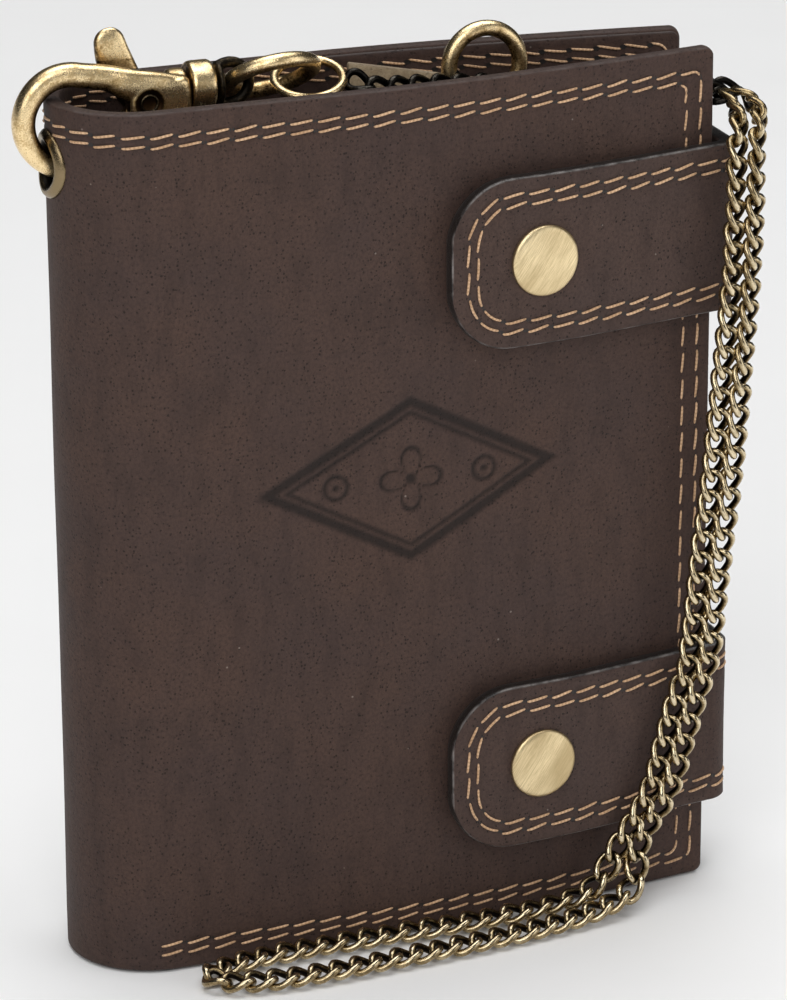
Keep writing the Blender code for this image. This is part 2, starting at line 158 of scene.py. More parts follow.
def half_thickness(x):
    along = share(x, TAPER_FROM * WIDTH, WIDTH)
    return SPINE_R - (SPINE_R - FORE_HALF) * along**TAPER_POWER


# ---- nodes for materials


class Nodes:
    """Short ways to wire a material, or the world."""

    def __init__(self, owner):
        owner.use_nodes = True
        self.owner, self.tree = owner, owner.node_tree

    def add(self, kind, inputs=None, **settings):
        node = self.tree.nodes.new(kind)
        for key, value in settings.items():
            setattr(node, key, value)
        for key, value in (inputs or {}).items():
            self.put(node.inputs[key], value)
        return node

    def put(self, socket, value):
        """Links an output, or sets a number, a vector or a colour of red, green and blue."""
        if isinstance(value, bpy.types.NodeSocket):
            self.tree.links.new(value, socket)
        else:
            socket.default_value = (*value, 1) if socket.type == "RGBA" else value

    def attribute(self, name, output="Fac"):
        return self.add("ShaderNodeAttribute", attribute_name=name).outputs[output]

    def noise(self, co, scale, detail=4, rough=0.55):
        inputs = {"Vector": co, "Scale": scale, "Detail": detail, "Roughness": rough}
        return self.add("ShaderNodeTexNoise", inputs).outputs["Fac"]

    def voronoi(self, co, scale, randomness=1.0):
        inputs = {"Vector": co, "Scale": scale, "Randomness": randomness}
        return self.add("ShaderNodeTexVoronoi", inputs)

    def ramp(self, fac, low, high, to_low=0.0, to_high=1.0):
        inputs = {"Value": fac, "From Min": low, "From Max": high, "To Min": to_low, "To Max": to_high}
        return self.add("ShaderNodeMapRange", inputs, clamp=True).outputs["Result"]

    def mix(self, fac, a, b):
        node = self.add("ShaderNodeMix", data_type="RGBA")
        for index, value in ((0, fac), (6, a), (7, b)):
            self.put(node.inputs[index], value)
        return node.outputs[2]

    def math(self, operation, a, b):
        node = self.add("ShaderNodeMath", operation=operation)
        self.put(node.inputs[0], a)
        self.put(node.inputs[1], b)
        return node.outputs[0]

    def times(self, a, b):
        return self.math("MULTIPLY", a, b)

    def stretch(self, co, scale):
        return self.add("ShaderNodeMapping", {"Vector": co, "Scale": scale}).outputs[0]

    def bump(self, height, distance, strength=1.0, normal=None):
        inputs = {"Height": height, "Distance": distance * MM, "Strength": strength}
        if normal is not None:
            inputs["Normal"] = normal
        return self.add("ShaderNodeBump", inputs).outputs[0]

    def finish(self, shader="Principled BSDF", **inputs):
        for key, value in inputs.items():
            self.put(self.tree.nodes[shader].inputs[key.replace("_", " ")], value)
        return self.owner


def leather(name, dark, base, warm, pores=0.5, pore_scale=0.85, coords="co", painted=0.45, pore_size=0.28):
    """Oiled nubuck: cloudy brown, small dark pores, pressed seams with painted shade along them, a dark
    pressed ornament, near-black painted edges with a painted highlight along their rim.
    """
    n = Nodes(bpy.data.materials.new(name))
    if coords == "co":
        co = n.attribute("co", "Vector")
    else:
        co = n.stretch(n.add("ShaderNodeTexCoord").outputs["Object"], (1000, 1000, 1000))
    cloud = n.noise(co, 0.055, 5, 0.6)
    streak = n.noise(n.stretch(co, (1.6, 0.5, 1)), 0.2, 4, 0.6)
    fine = n.noise(n.stretch(co, (1, 0.8, 1)), 2.2, 4, 0.75)
    colour = n.mix(n.ramp(cloud, 0.36, 0.62), base, warm)
    colour = n.mix(n.ramp(streak, 0.46, 0.72, 0, 0.5), colour, dark)
    colour = n.mix(n.ramp(n.noise(co, 0.7, 4, 0.65), 0.46, 0.66, 0.0, 0.35), colour, warm)
    colour = n.mix(n.ramp(fine, 0.44, 0.66, 0.0, 0.6), colour, dark)
    pore = n.voronoi(n.stretch(co, (1, 0.85, 1)), pore_scale, 0.9)
    depth = n.ramp(n.noise(co, 0.1, 3), 0.3, 0.55, 0.45, 1)
    size = n.ramp(pore.outputs["Color"], 0.25, 0.75, 0.3 * pore_size, pore_size)
    pit = n.ramp(n.math("SUBTRACT", pore.outputs["Distance"], size), -0.04, 0.04, 1, 0)
    pit = n.times(pit, depth)
    colour = n.mix(n.times(pit, pores), colour, (0.006, 0.004, 0.003))
    speck = n.voronoi(co, 0.16)
    dust = n.ramp(speck.outputs["Distance"], 0.018, 0.03, 0.5, 0)
    colour = n.mix(dust, colour, (0.32, 0.27, 0.24))
    # the pressed ornament is darkened, and painted shade lies along the seam grooves
    press = n.attribute("press")
    colour = n.mix(n.times(press, 0.8), colour, (0.012, 0.009, 0.008))
    edge = n.times(n.attribute("edge"), painted)
    colour = n.mix(edge, colour, (0.010, 0.007, 0.006))
    # painted highlight: a thin, broken light line along the edges' rim
    painted_rim_highlight = n.times(n.attribute("rim"), n.ramp(n.noise(co, 0.3, 3), 0.42, 0.6, 0.0, 1.0))
    colour = n.mix(n.times(painted_rim_highlight, 0.4 * painted), colour, (0.42, 0.38, 0.36))
    rough = n.ramp(cloud, 0.3, 0.7, 0.62, 0.74)
    rough = n.mix(edge, rough, (0.3, 0.3, 0.3))
    grain = n.math("ADD", n.times(fine, 0.6), n.times(n.noise(co, 0.9, 4), 0.8))
    grain = n.math("SUBTRACT", grain, n.times(pit, 0.8))
    return n.finish(
        Base_Color=colour,
        Roughness=rough,
        Normal=n.bump(grain, 0.14, 0.8),
        Specular_IOR_Level=n.ramp(edge, 0, 1, 0.2, 0.6),
        Sheen_Weight=0.03,
        Sheen_Roughness=0.5,
    )


def thread_material():
    n = Nodes(bpy.data.materials.new("waxed_thread"))
    co = n.attribute("co", "Vector")
    strands = {"Vector": n.stretch(co, (1, 0.1, 0.1)), "Scale": 0.57, "Distortion": 0.4}
    ply = n.add("ShaderNodeTexWave", strands).outputs["Fac"]
    shade = n.noise(co, 0.35, 3)
    colour = n.mix(n.ramp(shade, 0.3, 0.7), (0.52, 0.31, 0.165), (0.80, 0.52, 0.31))
    # painted shade in the grooves between the thread's plies
    colour = n.mix(n.ramp(ply, 0.1, 0.6, 0.35, 0), colour, (0.24, 0.12, 0.055))
    # painted shadow at the needle holes and where the thread dives into the leather
    colour = n.mix(n.attribute("press"), colour, (0.008, 0.005, 0.004))
    return n.finish(
        Base_Color=colour, Roughness=0.55, Normal=n.bump(ply, 0.08, 0.8), Sheen_Weight=0.1
    )


def brass(name, bright, mid, dark, pitted=0.5, rough=(0.26, 0.42), brushed=False, grain=1.0):
    """Antiqued brass: rubbed bright where it stands proud, darkened and pitted elsewhere. The stored value
    also holds painted light and shade: brighter where light falls, darker where shade falls.
    """
    n = Nodes(bpy.data.materials.new(name))
    co = n.stretch(n.add("ShaderNodeTexCoord").outputs["Object"], (1000, 1000, 1000))
    cloud = n.noise(co, 0.55, 5, 0.6)
    fine = n.noise(co, 4.0, 3, 0.7)
    # the stored value is wear together with painted light and shade, set for each piece
    wear_and_shade = n.math("ADD", n.attribute("wear_and_shade"), n.ramp(cloud, 0.25, 0.75, -0.4 * grain, 0.3 * grain))
    wear_and_shade = n.math("ADD", wear_and_shade, n.ramp(fine, 0.3, 0.7, -0.25 * grain, 0.25 * grain))
    colour = n.mix(n.ramp(wear_and_shade, 0.18, 0.52), dark, mid)
    colour = n.mix(n.ramp(wear_and_shade, 0.5, 0.9), colour, bright)
    pit = n.voronoi(co, 2.1)
    hole = n.ramp(n.math("ADD", pit.outputs["Distance"], n.ramp(cloud, 0.35, 0.6, 0.22, 0)), 0.07, 0.16, 1, 0)
    colour = n.mix(n.times(hole, pitted), colour, dark)
    roughness = n.ramp(wear_and_shade, 0.1, 0.9, rough[1], rough[0])
    height = n.math("SUBTRACT", n.times(fine, 0.35), n.times(hole, pitted))
    normal = n.bump(height, 0.12 * grain, 0.9)
    if brushed:
        turned = n.add("ShaderNodeMapping", {"Vector": co, "Rotation": (0, math.radians(55), 0)}).outputs[0]
        lines = n.noise(n.stretch(turned, (0.3, 1, 6.0)), 1.3, 4, 0.7)
        band = n.noise(n.stretch(turned, (0.3, 1, 1.0)), 0.22, 1)
        colour = n.mix(n.ramp(band, 0.44, 0.66, 0, 0.7), colour, mid)
        colour = n.mix(n.ramp(lines, 0.4, 0.62, 0, 0.55), colour, mid)
        roughness = n.ramp(lines, 0.3, 0.7, rough[0], rough[1])
        normal = n.bump(lines, 0.035, 0.6, normal)
    return n.finish(Base_Color=colour, Metallic=1.0, Roughness=roughness, Normal=normal)


BROWN_DARK, BROWN, BROWN_WARM = (0.032, 0.0195, 0.0165), (0.062, 0.038, 0.032), (0.076, 0.045, 0.035)
STRAP_BROWN, STRAP_WARM = (0.064, 0.041, 0.035), (0.077, 0.048, 0.039)
NUBUCK = leather("nubuck", BROWN_DARK, BROWN, BROWN_WARM, 0.62, 2.1, painted=0.2, pore_size=0.3)
STRAP_HIDE = leather("strap_nubuck", BROWN_DARK, STRAP_BROWN, STRAP_WARM, 0.8, 2.1, painted=1.0)
INNER_HIDE = leather("lining_hide", BROWN_DARK, BROWN, BROWN_WARM, 0.35, 1.2, "object")
UNDYED_DARK, UNDYED, UNDYED_WARM = (0.25, 0.17, 0.10), (0.46, 0.35, 0.22), (0.56, 0.45, 0.30)
RAW_HIDE = leather("raw_hide", UNDYED_DARK, UNDYED, UNDYED_WARM, 0.15, 1.2, "object")
THREAD = thread_material()
# name, bright, mid and dark colour, how pitted, roughness where rubbed and where dark
AGED = brass("aged_brass", (0.90, 0.70, 0.40), (0.50, 0.34, 0.15), (0.035, 0.018, 0.008), 0.9, (0.26, 0.48))
BLACK_TONES = (0.10, 0.09, 0.075), (0.03, 0.027, 0.023), (0.01, 0.009, 0.008)
BLACKENED = brass("blackened_brass", *BLACK_TONES, 0.1, (0.18, 0.35))
CHAIN_TONES = (0.82, 0.70, 0.48), (0.30, 0.22, 0.11), (0.012, 0.009, 0.007)
CHAIN_BRASS = brass("chain_brass", *CHAIN_TONES, 0.1, (0.15, 0.36), grain=0.45)
DARK_BRASS = brass("dark_brass", (0.24, 0.18, 0.10), (0.07, 0.052, 0.03), (0.012, 0.010, 0.008), 0.3)
SNAP_BRASS = brass("snap_brass", (0.42, 0.32, 0.18), (0.26, 0.19, 0.10), (0.13, 0.095, 0.05), 0.2)
CAP_TONES = (0.95, 0.78, 0.48), (0.46, 0.34, 0.17), (0.20, 0.14, 0.07)
CAP_BRASS = brass("cap_brass", *CAP_TONES, 0.0, (0.3, 0.46), brushed=True, grain=0.4)


# ---- mesh helpers


def new_mesh(name, verts, faces, material, slot=None):
    """An object of layout-millimetre points."""
    mesh = bpy.data.meshes.new(name)
    mesh.from_pydata([world(*v) for v in verts], [], faces)
    mesh.update()
    made = bpy.data.objects.new(name, mesh)
    bpy.context.scene.collection.objects.link(made)
    mesh.materials.append(material)
    mesh.polygons.foreach_set("use_smooth", [True] * len(mesh.polygons))
    return made


def put_attribute(obj, name, values, kind="FLOAT"):
    layer = obj.data.attributes.new(name, kind, "POINT")
    flat = np.asarray(values, np.float32).ravel()
    layer.data.foreach_set("value" if kind == "FLOAT" else "vector", flat)


def put_wear_and_shade(obj, wear_and_shade):
    """Stores how rubbed the metal is, together with its painted light and shade, from 0 to 1, by a function
    of a layout point and its normal.
    """
    put_attribute(obj, "wear_and_shade", [wear_and_shade(layout(v.co), v.normal) for v in obj.data.vertices])


def face_outwards(mesh):
    bm = bmesh.new()
    bm.from_mesh(mesh)
    bmesh.ops.recalc_face_normals(bm, faces=bm.faces)
    bm.to_mesh(mesh)
    bm.free()


def circle(steps):
    return [(math.cos(math.tau * k / steps), math.sin(math.tau * k / steps)) for k in range(steps)]


def bands(rings, sides, base=0, around=False):
    """Quads between neighbouring rings of points, and back from the last to the first if around."""
    faces = []
    for i in range(rings if around else rings - 1):
        a, b = base + i * sides, base + (i + 1) % rings * sides
        for k in range(sides):
            m = (k + 1) % sides
            faces.append((a + k, b + k, b + m, a + m) if around else (a + k, a + m, b + m, b + k))
    return faces


def lids(rings, sides):
    """The two faces that close a row of rings."""
    last = (rings - 1) * sides
    return [tuple(reversed(range(sides))), tuple(range(last, last + sides))]


def distances(points):
    """How far along its line each point lies."""
    return np.concatenate([[0], np.cumsum(np.linalg.norm(np.diff(points, axis=0), axis=1))])


class Plan:
    """A line seen from above, measured by the distance s along it, with its outward side."""

    def __init__(self, points, outward):
        self.xy = np.array(points, float)
        self.s = distances(self.xy)
        tangent = np.gradient(self.xy, self.s, axis=0)
        tangent /= np.linalg.norm(tangent, axis=1)[:, None]
        self.normal = np.stack([tangent[:, 1], -tangent[:, 0]], 1) * outward

    def at(self, s, z, out=0.0):
        """The point at s along and z up, standing out from the line."""
        x, y = (np.interp(s, self.s, self.xy[:, k]) for k in (0, 1))
        nx, ny = (np.interp(s, self.s, self.normal[:, k]) for k in (0, 1))
        size = math.hypot(nx, ny) or 1
        return Vector((x + nx / size * out, y + ny / size * out, z))

    def find(self, test):
        """The first s where test(x, y) is true."""
        return float(next(s for s, (x, y) in zip(self.s, self.xy) if test(x, y)))


def graded(lo, hi, lines, coarse, fine, reach):
    """Stations from lo to hi, close together near the given lines and further apart elsewhere."""
    stations = [lo]
    while stations[-1] < hi:
        near = min((abs(stations[-1] - line) for line in lines), default=reach)
        step = fine if near < reach else coarse
        stations.append(stations[-1] + step)
    stations[-1] = hi
    if len(stations) > 2 and stations[-1] - stations[-2] < fine * 0.4:
        stations.pop(-2)
    return np.array(stations)


OUTER, INNER, EDGE, RIM = range(4)  # where a point of the leather's section lies
EDGE_STEPS = 5  # points over an edge, between its two faces


def pulled_in(radius, away):
    """How far a rounded end pulls the leather in, at a distance from its tip."""
    return radius - math.sqrt(max(radius**2 - (radius - away) ** 2, 0)) if away < radius else 0.0


def rounded_stations(stations, tip, inward, corner, edge_r):
    """The stations with those near a rounded end placed evenly round its corner and its edge."""
    stations = [s for s in stations if (s - tip) * inward > corner]
    for radius, steps in ((corner, 12), (edge_r, 6)):
        turns = [i / steps * math.pi / 2 for i in range(steps + 1)]
        stations += [tip + inward * radius * (1 - math.sin(q)) for q in turns]
    return sorted(set(np.round(stations, 5)))


def panel(name, plan, s0, s1, z0, z1, thick, material, slot, **options):
    """A length of thick leather along a plan line, with rounded edges all round.

    Each station along the line is a closed loop round the leather's section. Where an end is rounded
    the loops shrink round its corners. An end of None is left open, to meet the next length."""
    ends = options.get("ends", (None, None))
    edge_r = options.get("edge_r", 0.4)
    press = options.get("press", lambda s, z, face: 0.0)
    drop = options.get("drop", 0.0)
    stations = list(options["along"])
    for corner, tip, inward in zip(ends, (s0, s1), (1, -1)):
        if corner is not None:
            stations = rounded_stations(stations, tip, inward, corner, edge_r)
    full = (z1 - z0) / 2
    rows = np.unique(np.clip((np.array(options["up"]) - (z0 + z1) / 2) / (full - edge_r), -1, 1))
    verts, co, pressed, edges, rims = [], [], [], [], []
    for s in stations:
        fall = drop * (s1 - s) / (s1 - s0)
        mid_z = (z0 + z1 - fall) / 2
        shrink, inset = 0.0, 0.0
        for corner, away in zip(ends, (s - s0, s1 - s)):
            if corner is not None:
                shrink = max(shrink, pulled_in(corner, away))
                inset = max(inset, pulled_in(edge_r, away))
        r = max(edge_r - inset, 0.02)
        flat = full - fall / 2 - shrink - inset - r
        over = []
        for i in range(1, EDGE_STEPS + 1):
            q = i / (EDGE_STEPS + 1) * math.pi
            out = (thick / 2 - inset) * math.cos(q) - thick / 2
            over.append((r * math.sin(q), out, RIM if i == 1 else EDGE))
        loop = [(mid_z + row * flat, -inset, OUTER) for row in rows]
        loop += [(mid_z + flat + rise, out, face) for rise, out, face in over]
        loop += [(mid_z + row * flat, inset - thick, INNER) for row in rows[::-1]]
        loop += [(mid_z - flat - rise, out, face) for rise, out, face in over[::-1]]
        at_end = inset > edge_r * 0.25
        for z, out, face in loop:
            on_face = face in (OUTER, INNER)
            lift = options["relief"](s, z, face) if on_face else 0.0
            out += lift if face == OUTER else -lift
            verts.append(plan.at(s, z, out))
            co.append((s, z, out))
            # pressed darkening together with painted seam shade
            pressed.append(press(s, z, face) if on_face else 0.0)
            edges.append(float(not on_face or at_end))
            rims.append(float(face == RIM or (face == OUTER and 0.1 < inset / edge_r < 0.6)))
    faces = bands(len(stations), len(loop))
    for corner, base in zip(ends, (0, len(verts) - len(loop))):
        if corner is not None:
            faces += end_cap(base, len(rows))
    if "hole" in options:
        centre, radius = options["hole"]
        middles = [[sum(co[i][axis] for i in face) / 4 for axis in (0, 1)] for face in faces]
        faces = [face for face, at in zip(faces, middles) if math.dist(at, centre) > radius]
    made = new_mesh(name, verts, faces, material, slot)
    put_attribute(made, "co", co, "FLOAT_VECTOR")
    for attribute, values in (("press", pressed), ("edge", edges), ("rim", rims)):
        put_attribute(made, attribute, values)
    face_outwards(made.data)
    return made


def put_on(piece, bodies, plan, s0, s1):
    if len(bodies) == 1:
        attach(piece, bodies[0])
    else:
        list(bodies)
        world(*plan.at(s0, 0))
        world(*plan.at(s1, 0))
        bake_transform(piece)


def end_cap(base, rows):
    """Closes a loop whose two sides have the same number of rows, as strips across its thickness."""
    inner_at = base + rows + EDGE_STEPS
    outer, inner = list(range(base, base + rows)), list(range(inner_at, inner_at + rows))[::-1]
    top = tuple(range(outer[-1], inner[-1] + 1))
    bottom = tuple(range(inner[0], inner[0] + EDGE_STEPS + 1)) + (base,)
    return [(outer[i], outer[i + 1], inner[i + 1], inner[i]) for i in range(rows - 1)] + [top, bottom]


# ---- leather covers and spine


def arc_points(centre, radius, start, end, steps):
    turns = [math.radians(start + (end - start) * i / steps) for i in range(steps + 1)]
    return [(centre[0] + radius * math.cos(q), centre[1] + radius * math.sin(q)) for q in turns]


def cover_plan():
    """The covers' outer face, from the back fore-edge round the spine to the front fore-edge."""
    flat = [(x, half_thickness(x)) for x in np.linspace(WIDTH, SPINE_R, 160)]
    bend = arc_points((SPINE_R, 0), SPINE_R, 90, 270, 120)[1:-1]
    return Plan(flat + bend + [(x, -y) for x, y in reversed(flat)], 1)


COVER = cover_plan()
COVER_END = float(COVER.s[-1])
FLAT = COVER.find(lambda x, y: x <= SPINE_R + 1e-6)
QUARTER = SPINE_R * math.pi / 4
SPINE_STOPS = [FLAT + i * QUARTER for i in range(5)]
SPINE_BODIES = ["back", "spine_rear", "spine_mid", "spine_front", "front"]
EYELET = middle("eyelet")


FAR_OFF = 9.0  # further from a seam than its groove reaches


def seam_distance(s, z):
    """How far a point of the cover's face is from the nearest row of stitching."""
    fore = min(s, COVER_END - s)
    near = FAR_OFF
    back = share(s, SPINE_STOPS[4], SPINE_STOPS[0])
    for top, side, bottom in zip(*COVER_ROWS):
        top -= BACK_RAISE * back
        inside = fore > side - 0.3 and bottom - 0.3 < z < HEIGHT - top + 0.3
        if not inside:
            continue
        near = min(near, abs(HEIGHT - top - z), abs(fore - side))
        if abs(s - SPINE_STOPS[2]) > QUARTER * 2 - 2.9:
            near = min(near, abs(z - bottom))
    return near


def groove(distance, depth=0.13, width=0.5):
    return -depth * bell(distance, width)


ORNAMENT_X, ORNAMENT_Z, ORNAMENT_HALF, ORNAMENT_DEPTH = 48.0, 70.0, (21.5, 11.5), 0.24


def ornament(s, z):
    """A plain pressed lozenge frame with a four-petal middle, from 0 to 1."""
    if s < COVER_END / 2:
        return 0.0
    u = WIDTH - (COVER_END - s) - ORNAMENT_X
    v = z - ORNAMENT_Z
    du, dv = abs(u) / ORNAMENT_HALF[0], abs(v) / ORNAMENT_HALF[1]
    if du > 1.1 or dv > 1.1:
        return 0.0
    lozenge = du + dv
    lines = [abs(lozenge - 1.0) * 8.0 - 0.55, abs(lozenge - 0.86) * 8.0 - 0.25]
    radius, turn = math.hypot(u, v), math.atan2(v, u)
    petal = 4.6 * abs(math.cos(2 * turn)) ** 0.7
    lines.append(abs(radius - petal) - 0.32 if radius < 6 else 9)
    lines.append(radius - 0.8)
    for side in (-1, 1):
        lines.append(abs(math.hypot(u - side * 11.3, v) - 1.7) - 0.3)
        lines.append(math.hypot(u - side * 11.3, v) - 0.5)
    return min(max(0.5 - min(lines) * 2.2, 0), 1)


def cover_relief(s, z, face):
    wave = noise.noise(Vector((s * 0.035, z * 0.03, 3.1 + face))) * 0.16
    edge = min(z, HEIGHT - z, s + 6, COVER_END - s + 6)
    wave *= min(edge / 6, 1)
    if face == INNER:
        return wave * 0.4 + groove(seam_distance(s, z), 0.08)
    return wave + groove(seam_distance(s, z)) - ORNAMENT_DEPTH * ornament(s, z)


def cover_press_and_shade(s, z, face):
    if face == INNER:
        return 0.0
    # painted shade along the seam grooves; the pressed ornament is darkened as well
    seam = bell(seam_distance(s, z), 0.5) * 0.22
    return max(seam, ornament(s, z))


def covers():
    seams_z = [HEIGHT - r for r in ROW_TOP] + list(ROW_BOTTOM)
    seams_back = [z + BACK_RAISE * (z > HEIGHT / 2) for z in seams_z]
    fine_rows = list(np.arange(ORNAMENT_Z - 13, ORNAMENT_Z + 14, 1.0))
    up = graded(0, HEIGHT, seams_z + fine_rows, 1.5, 0.3, 0.9)
    round_eyelet = list(np.arange(EYELET.z - 5, EYELET.z + 5.1, 1.0))
    up_spine = graded(0, HEIGHT, seams_z[:2] + seams_back[:2] + round_eyelet, 1.6, 0.35, 0.9)
    up_back = graded(0, HEIGHT, seams_back, 1.6, 0.35, 0.9)
    fine_front = [COVER_END - r for r in ROW_FORE]
    mark = COVER_END - WIDTH + ORNAMENT_X
    beyond = ORNAMENT_HALF[0] + 1
    fine_front += list(np.arange(mark - beyond, mark + beyond + 0.1, 1.0))
    surface = {"relief": cover_relief, "press": cover_press_and_shade}
    for name, node, body, s0, s1, lines, ends in (
        ("hide_back", "back_cover", "back", 0, FLAT, list(ROW_FORE), (CORNER_R, None)),
        ("hide_front", "front_cover", "front", SPINE_STOPS[4], COVER_END, fine_front, (None, CORNER_R)),
    ):
        shape = {
            "along": graded(s0, s1, lines, 1.6, 0.3, 0.9),
            "up": up if body == "front" else up_back,
            "ends": ends,
        }
        made = panel(name, COVER, s0, s1, 0, HEIGHT, LEATHER, NUBUCK, "leather", **shape, **surface)
        stand_in(made, body, node)
    for i, (a, b) in enumerate(zip(SPINE_BODIES, SPINE_BODIES[1:])):
        s0, s1 = SPINE_STOPS[i], SPINE_STOPS[i + 1]
        shape = {"along": np.linspace(s0, s1, 15), "up": up_spine, "hole": ((SPINE_STOPS[2], EYELET.z), 3.9)}
        name = f"hide_spine_{i + 1}"
        made = panel(name, COVER, s0, s1, 0, HEIGHT, LEATHER, NUBUCK, "leather", **shape, **surface)
        if i < 3:
            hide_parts(SPINE_BODIES[i + 1])
        put_on(made, [a, b], COVER, s0, s1)


# ---- stitching


class Sewing:
    """Threads gathered by the body they lie on, then made into one mesh for each."""

    def __init__(self):
        self.parts = {}

    def part(self, key):
        return self.parts.setdefault(key, {"verts": [], "faces": [], "press": [], "co": []})

    def tube(self, key, centres, radii, press):
        part = self.part(key)
        sides, base = 6, len(part["verts"])
        up = Vector((0, 0, 1))
        for i, here in enumerate(centres):
            ahead = centres[min(i + 1, len(centres) - 1)] - centres[max(i - 1, 0)]
            ahead.normalize()
            side = ahead.cross(up)
            side = side.normalized() if side.length > 1e-4 else Vector((1, 0, 0))
            other = side.cross(ahead)
            for c, s in circle(sides):
                part["verts"].append(here + (side * c + other * s) * radii[i])
                part["press"].append(press[i])
                part["co"].append((i * STITCH_LENGTH / (STITCH_POINTS - 1) + base * 0.37, c, s))
        part["faces"] += bands(len(centres), sides, base)
        part["faces"].append(tuple(base + k for k in range(sides)))
        last = base + (len(centres) - 1) * sides
        part["faces"].append(tuple(last + k for k in reversed(range(sides))))

    def hole(self, key, here, along, across):
        """A needle hole: a shallow lens on the surface, painted near black as the hole's shadow."""
        part = self.part(key)
        base, count = len(part["verts"]), 10
        part["verts"] += [here + along * c + across * s for c, s in circle(count)]
        part["verts"].append(here + along.cross(across).normalized() * 0.03)
        part["press"] += [1.0] * (count + 1)
        part["co"] += [(0, 0, 0)] * (count + 1)
        part["faces"] += [(base + k, base + (k + 1) % count, base + count) for k in range(count)]

    def make(self, name, key):
        part = self.parts[key]
        made = new_mesh(name, part["verts"], part["faces"], THREAD, "raw_leather")
        put_attribute(made, "press", part["press"])
        put_attribute(made, "co", part["co"], "FLOAT_VECTOR")
        return made


def resample(points, stations):
    points = np.array(points, float)
    reach = distances(points)
    return [np.interp(stations, reach, points[:, k]) for k in (0, 1)], reach[-1]


def rounded_path(points, radii):
    """A polyline with its inner corners rounded."""
    out = [np.array(points[0], float)]
    for i in range(1, len(points) - 1):
        here, before, after = (np.array(points[i + k], float) for k in (0, -1, 1))
        radius = radii[i - 1]
        u, v = before - here, after - here
        u, v = u / np.linalg.norm(u), v / np.linalg.norm(v)
        if radius <= 0:
            out.append(here)
            continue
        a, b = here + u * radius, here + v * radius
        centre = here + (u + v) * radius
        start = math.atan2(*(a - centre)[::-1])
        sweep = (math.atan2(*(b - centre)[::-1]) - start + math.pi) % math.tau - math.pi
        steps = max(int(radius * 3), 4)
        out += [
            centre + radius * np.array([math.cos(start + sweep * t), math.sin(start + sweep * t)])
            for t in np.linspace(0, 1, steps + 1)
        ]
    out.append(np.array(points[-1], float))
    return out


def sew_row(sewing, plan, path, key_at, out_at, face=1, skip=None, lean=0.26, seed=1):
    """Lock stitches along a path given in (s, z), on the face that looks outward or inward."""
    rng = random.Random(seed)
    total = resample(path, [0])[1]
    count = max(int(round(total / STITCH_PITCH)), 1)
    pitch = total / count
    last, half_way = STITCH_POINTS - 1, STITCH_POINTS // 2
    for k in range(count):
        begin = k * pitch + (pitch - STITCH_LENGTH) / 2
        stations = begin + np.linspace(0, STITCH_LENGTH, STITCH_POINTS)
        (ss, zz), _ = resample(path, stations)
        if skip and skip(ss[half_way], zz[half_way]):
            continue
        key = key_at(ss[half_way])
        tilt = lean * rng.uniform(0.6, 1.3)
        centres, radii, press = [], [], []
        for i, t in enumerate(np.linspace(-1, 1, STITCH_POINTS)):
            ds, dz = (line[min(i + 1, last)] - line[max(i - 1, 0)] for line in (ss, zz))
            size = math.hypot(ds, dz) or 1
            off = tilt * math.sin(t * 1.3) * (ds * ds - 0.5 * dz * dz) / size**2
            rise = 0.14 - 0.36 * abs(t) ** 5
            out = out_at(ss[i], zz[i]) + face * rise
            centres.append(plan.at(ss[i] - dz / size * off, zz[i] + ds / size * off, out))
            radii.append(THREAD_R * (1 - 0.35 * abs(t) ** 5))
            # painted shade where the stitch's ends dive into the leather
            press.append(0.4 * max(abs(t) - 0.75, 0) * 4)
        sewing.tube(key, centres, radii, press)
        for end, inner in ((0, 1), (last, last - 1)):
            level = out_at(ss[end], zz[end])
            here = plan.at(ss[end], zz[end], level + face * 0.02)
            along = (plan.at(ss[inner], zz[inner], level) - here).normalized()
            off = plan.at(ss[end], zz[end], level + 1) - here
            across = along.cross(off.normalized()) * face
            sewing.hole(key, here - along * 0.12, along * HOLE_LONG, across * HOLE_WIDE)


def cover_rows():
    """Both rows as one path each: front bottom, fore-edge, top all the way round, back bottom."""
    start = SPINE_STOPS[4] - 2.6
    paths = []
    for top, side, bottom in zip(*COVER_ROWS):
        low, high, fore = bottom, HEIGHT - top, COVER_END - side
        back_start = COVER_END - start
        raised = high + BACK_RAISE
        points = [(start, low), (fore, low), (fore, high), (SPINE_STOPS[4], high), (SPINE_STOPS[0], raised)]
        points += [(side, raised), (side, low), (back_start, low)]
        paths.append(rounded_path(points, [SEAM_R, SEAM_R, 0, 0, SEAM_R, SEAM_R]))
    return paths


def spine_key(s):
    for i in range(4):
        if SPINE_STOPS[i] < s < SPINE_STOPS[i + 1]:
            return f"spine_{i + 1}"
    return "back" if s < COVER_END / 2 else "front"


def stitch_covers():
    sewing = Sewing()
    centre = SPINE_STOPS[2]

    def under_eyelet(s, z):
        return math.hypot(s - centre, z - EYELET.z) < 5.6

    def outer(s, z):
        return cover_relief(s, z, OUTER)

    def inner(s, z):
        beyond = share(abs(s - centre) - 2 * QUARTER, 2.0, 3.5)
        return -(LEATHER + (LINING_DEPTH - LEATHER) * beyond) - 0.02

    for i, path in enumerate(cover_rows()):
        sew_row(sewing, COVER, path, spine_key, outer, 1, under_eyelet, seed=11 + i)
        sew_row(sewing, COVER, path, lambda s: "in_" + spine_key(s), inner, -1, under_eyelet, seed=21 + i)
    for key in sorted(sewing.parts):
        made = sewing.make(f"thread_{key}", key)
        where = key.replace("in_", "")
        if where.startswith("spine_"):
            i = int(where[-1])
            put_on(made, SPINE_BODIES[i - 1 : i + 1], COVER, SPINE_STOPS[i - 1], SPINE_STOPS[i])
        else:
            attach(made, where)


# ---- straps

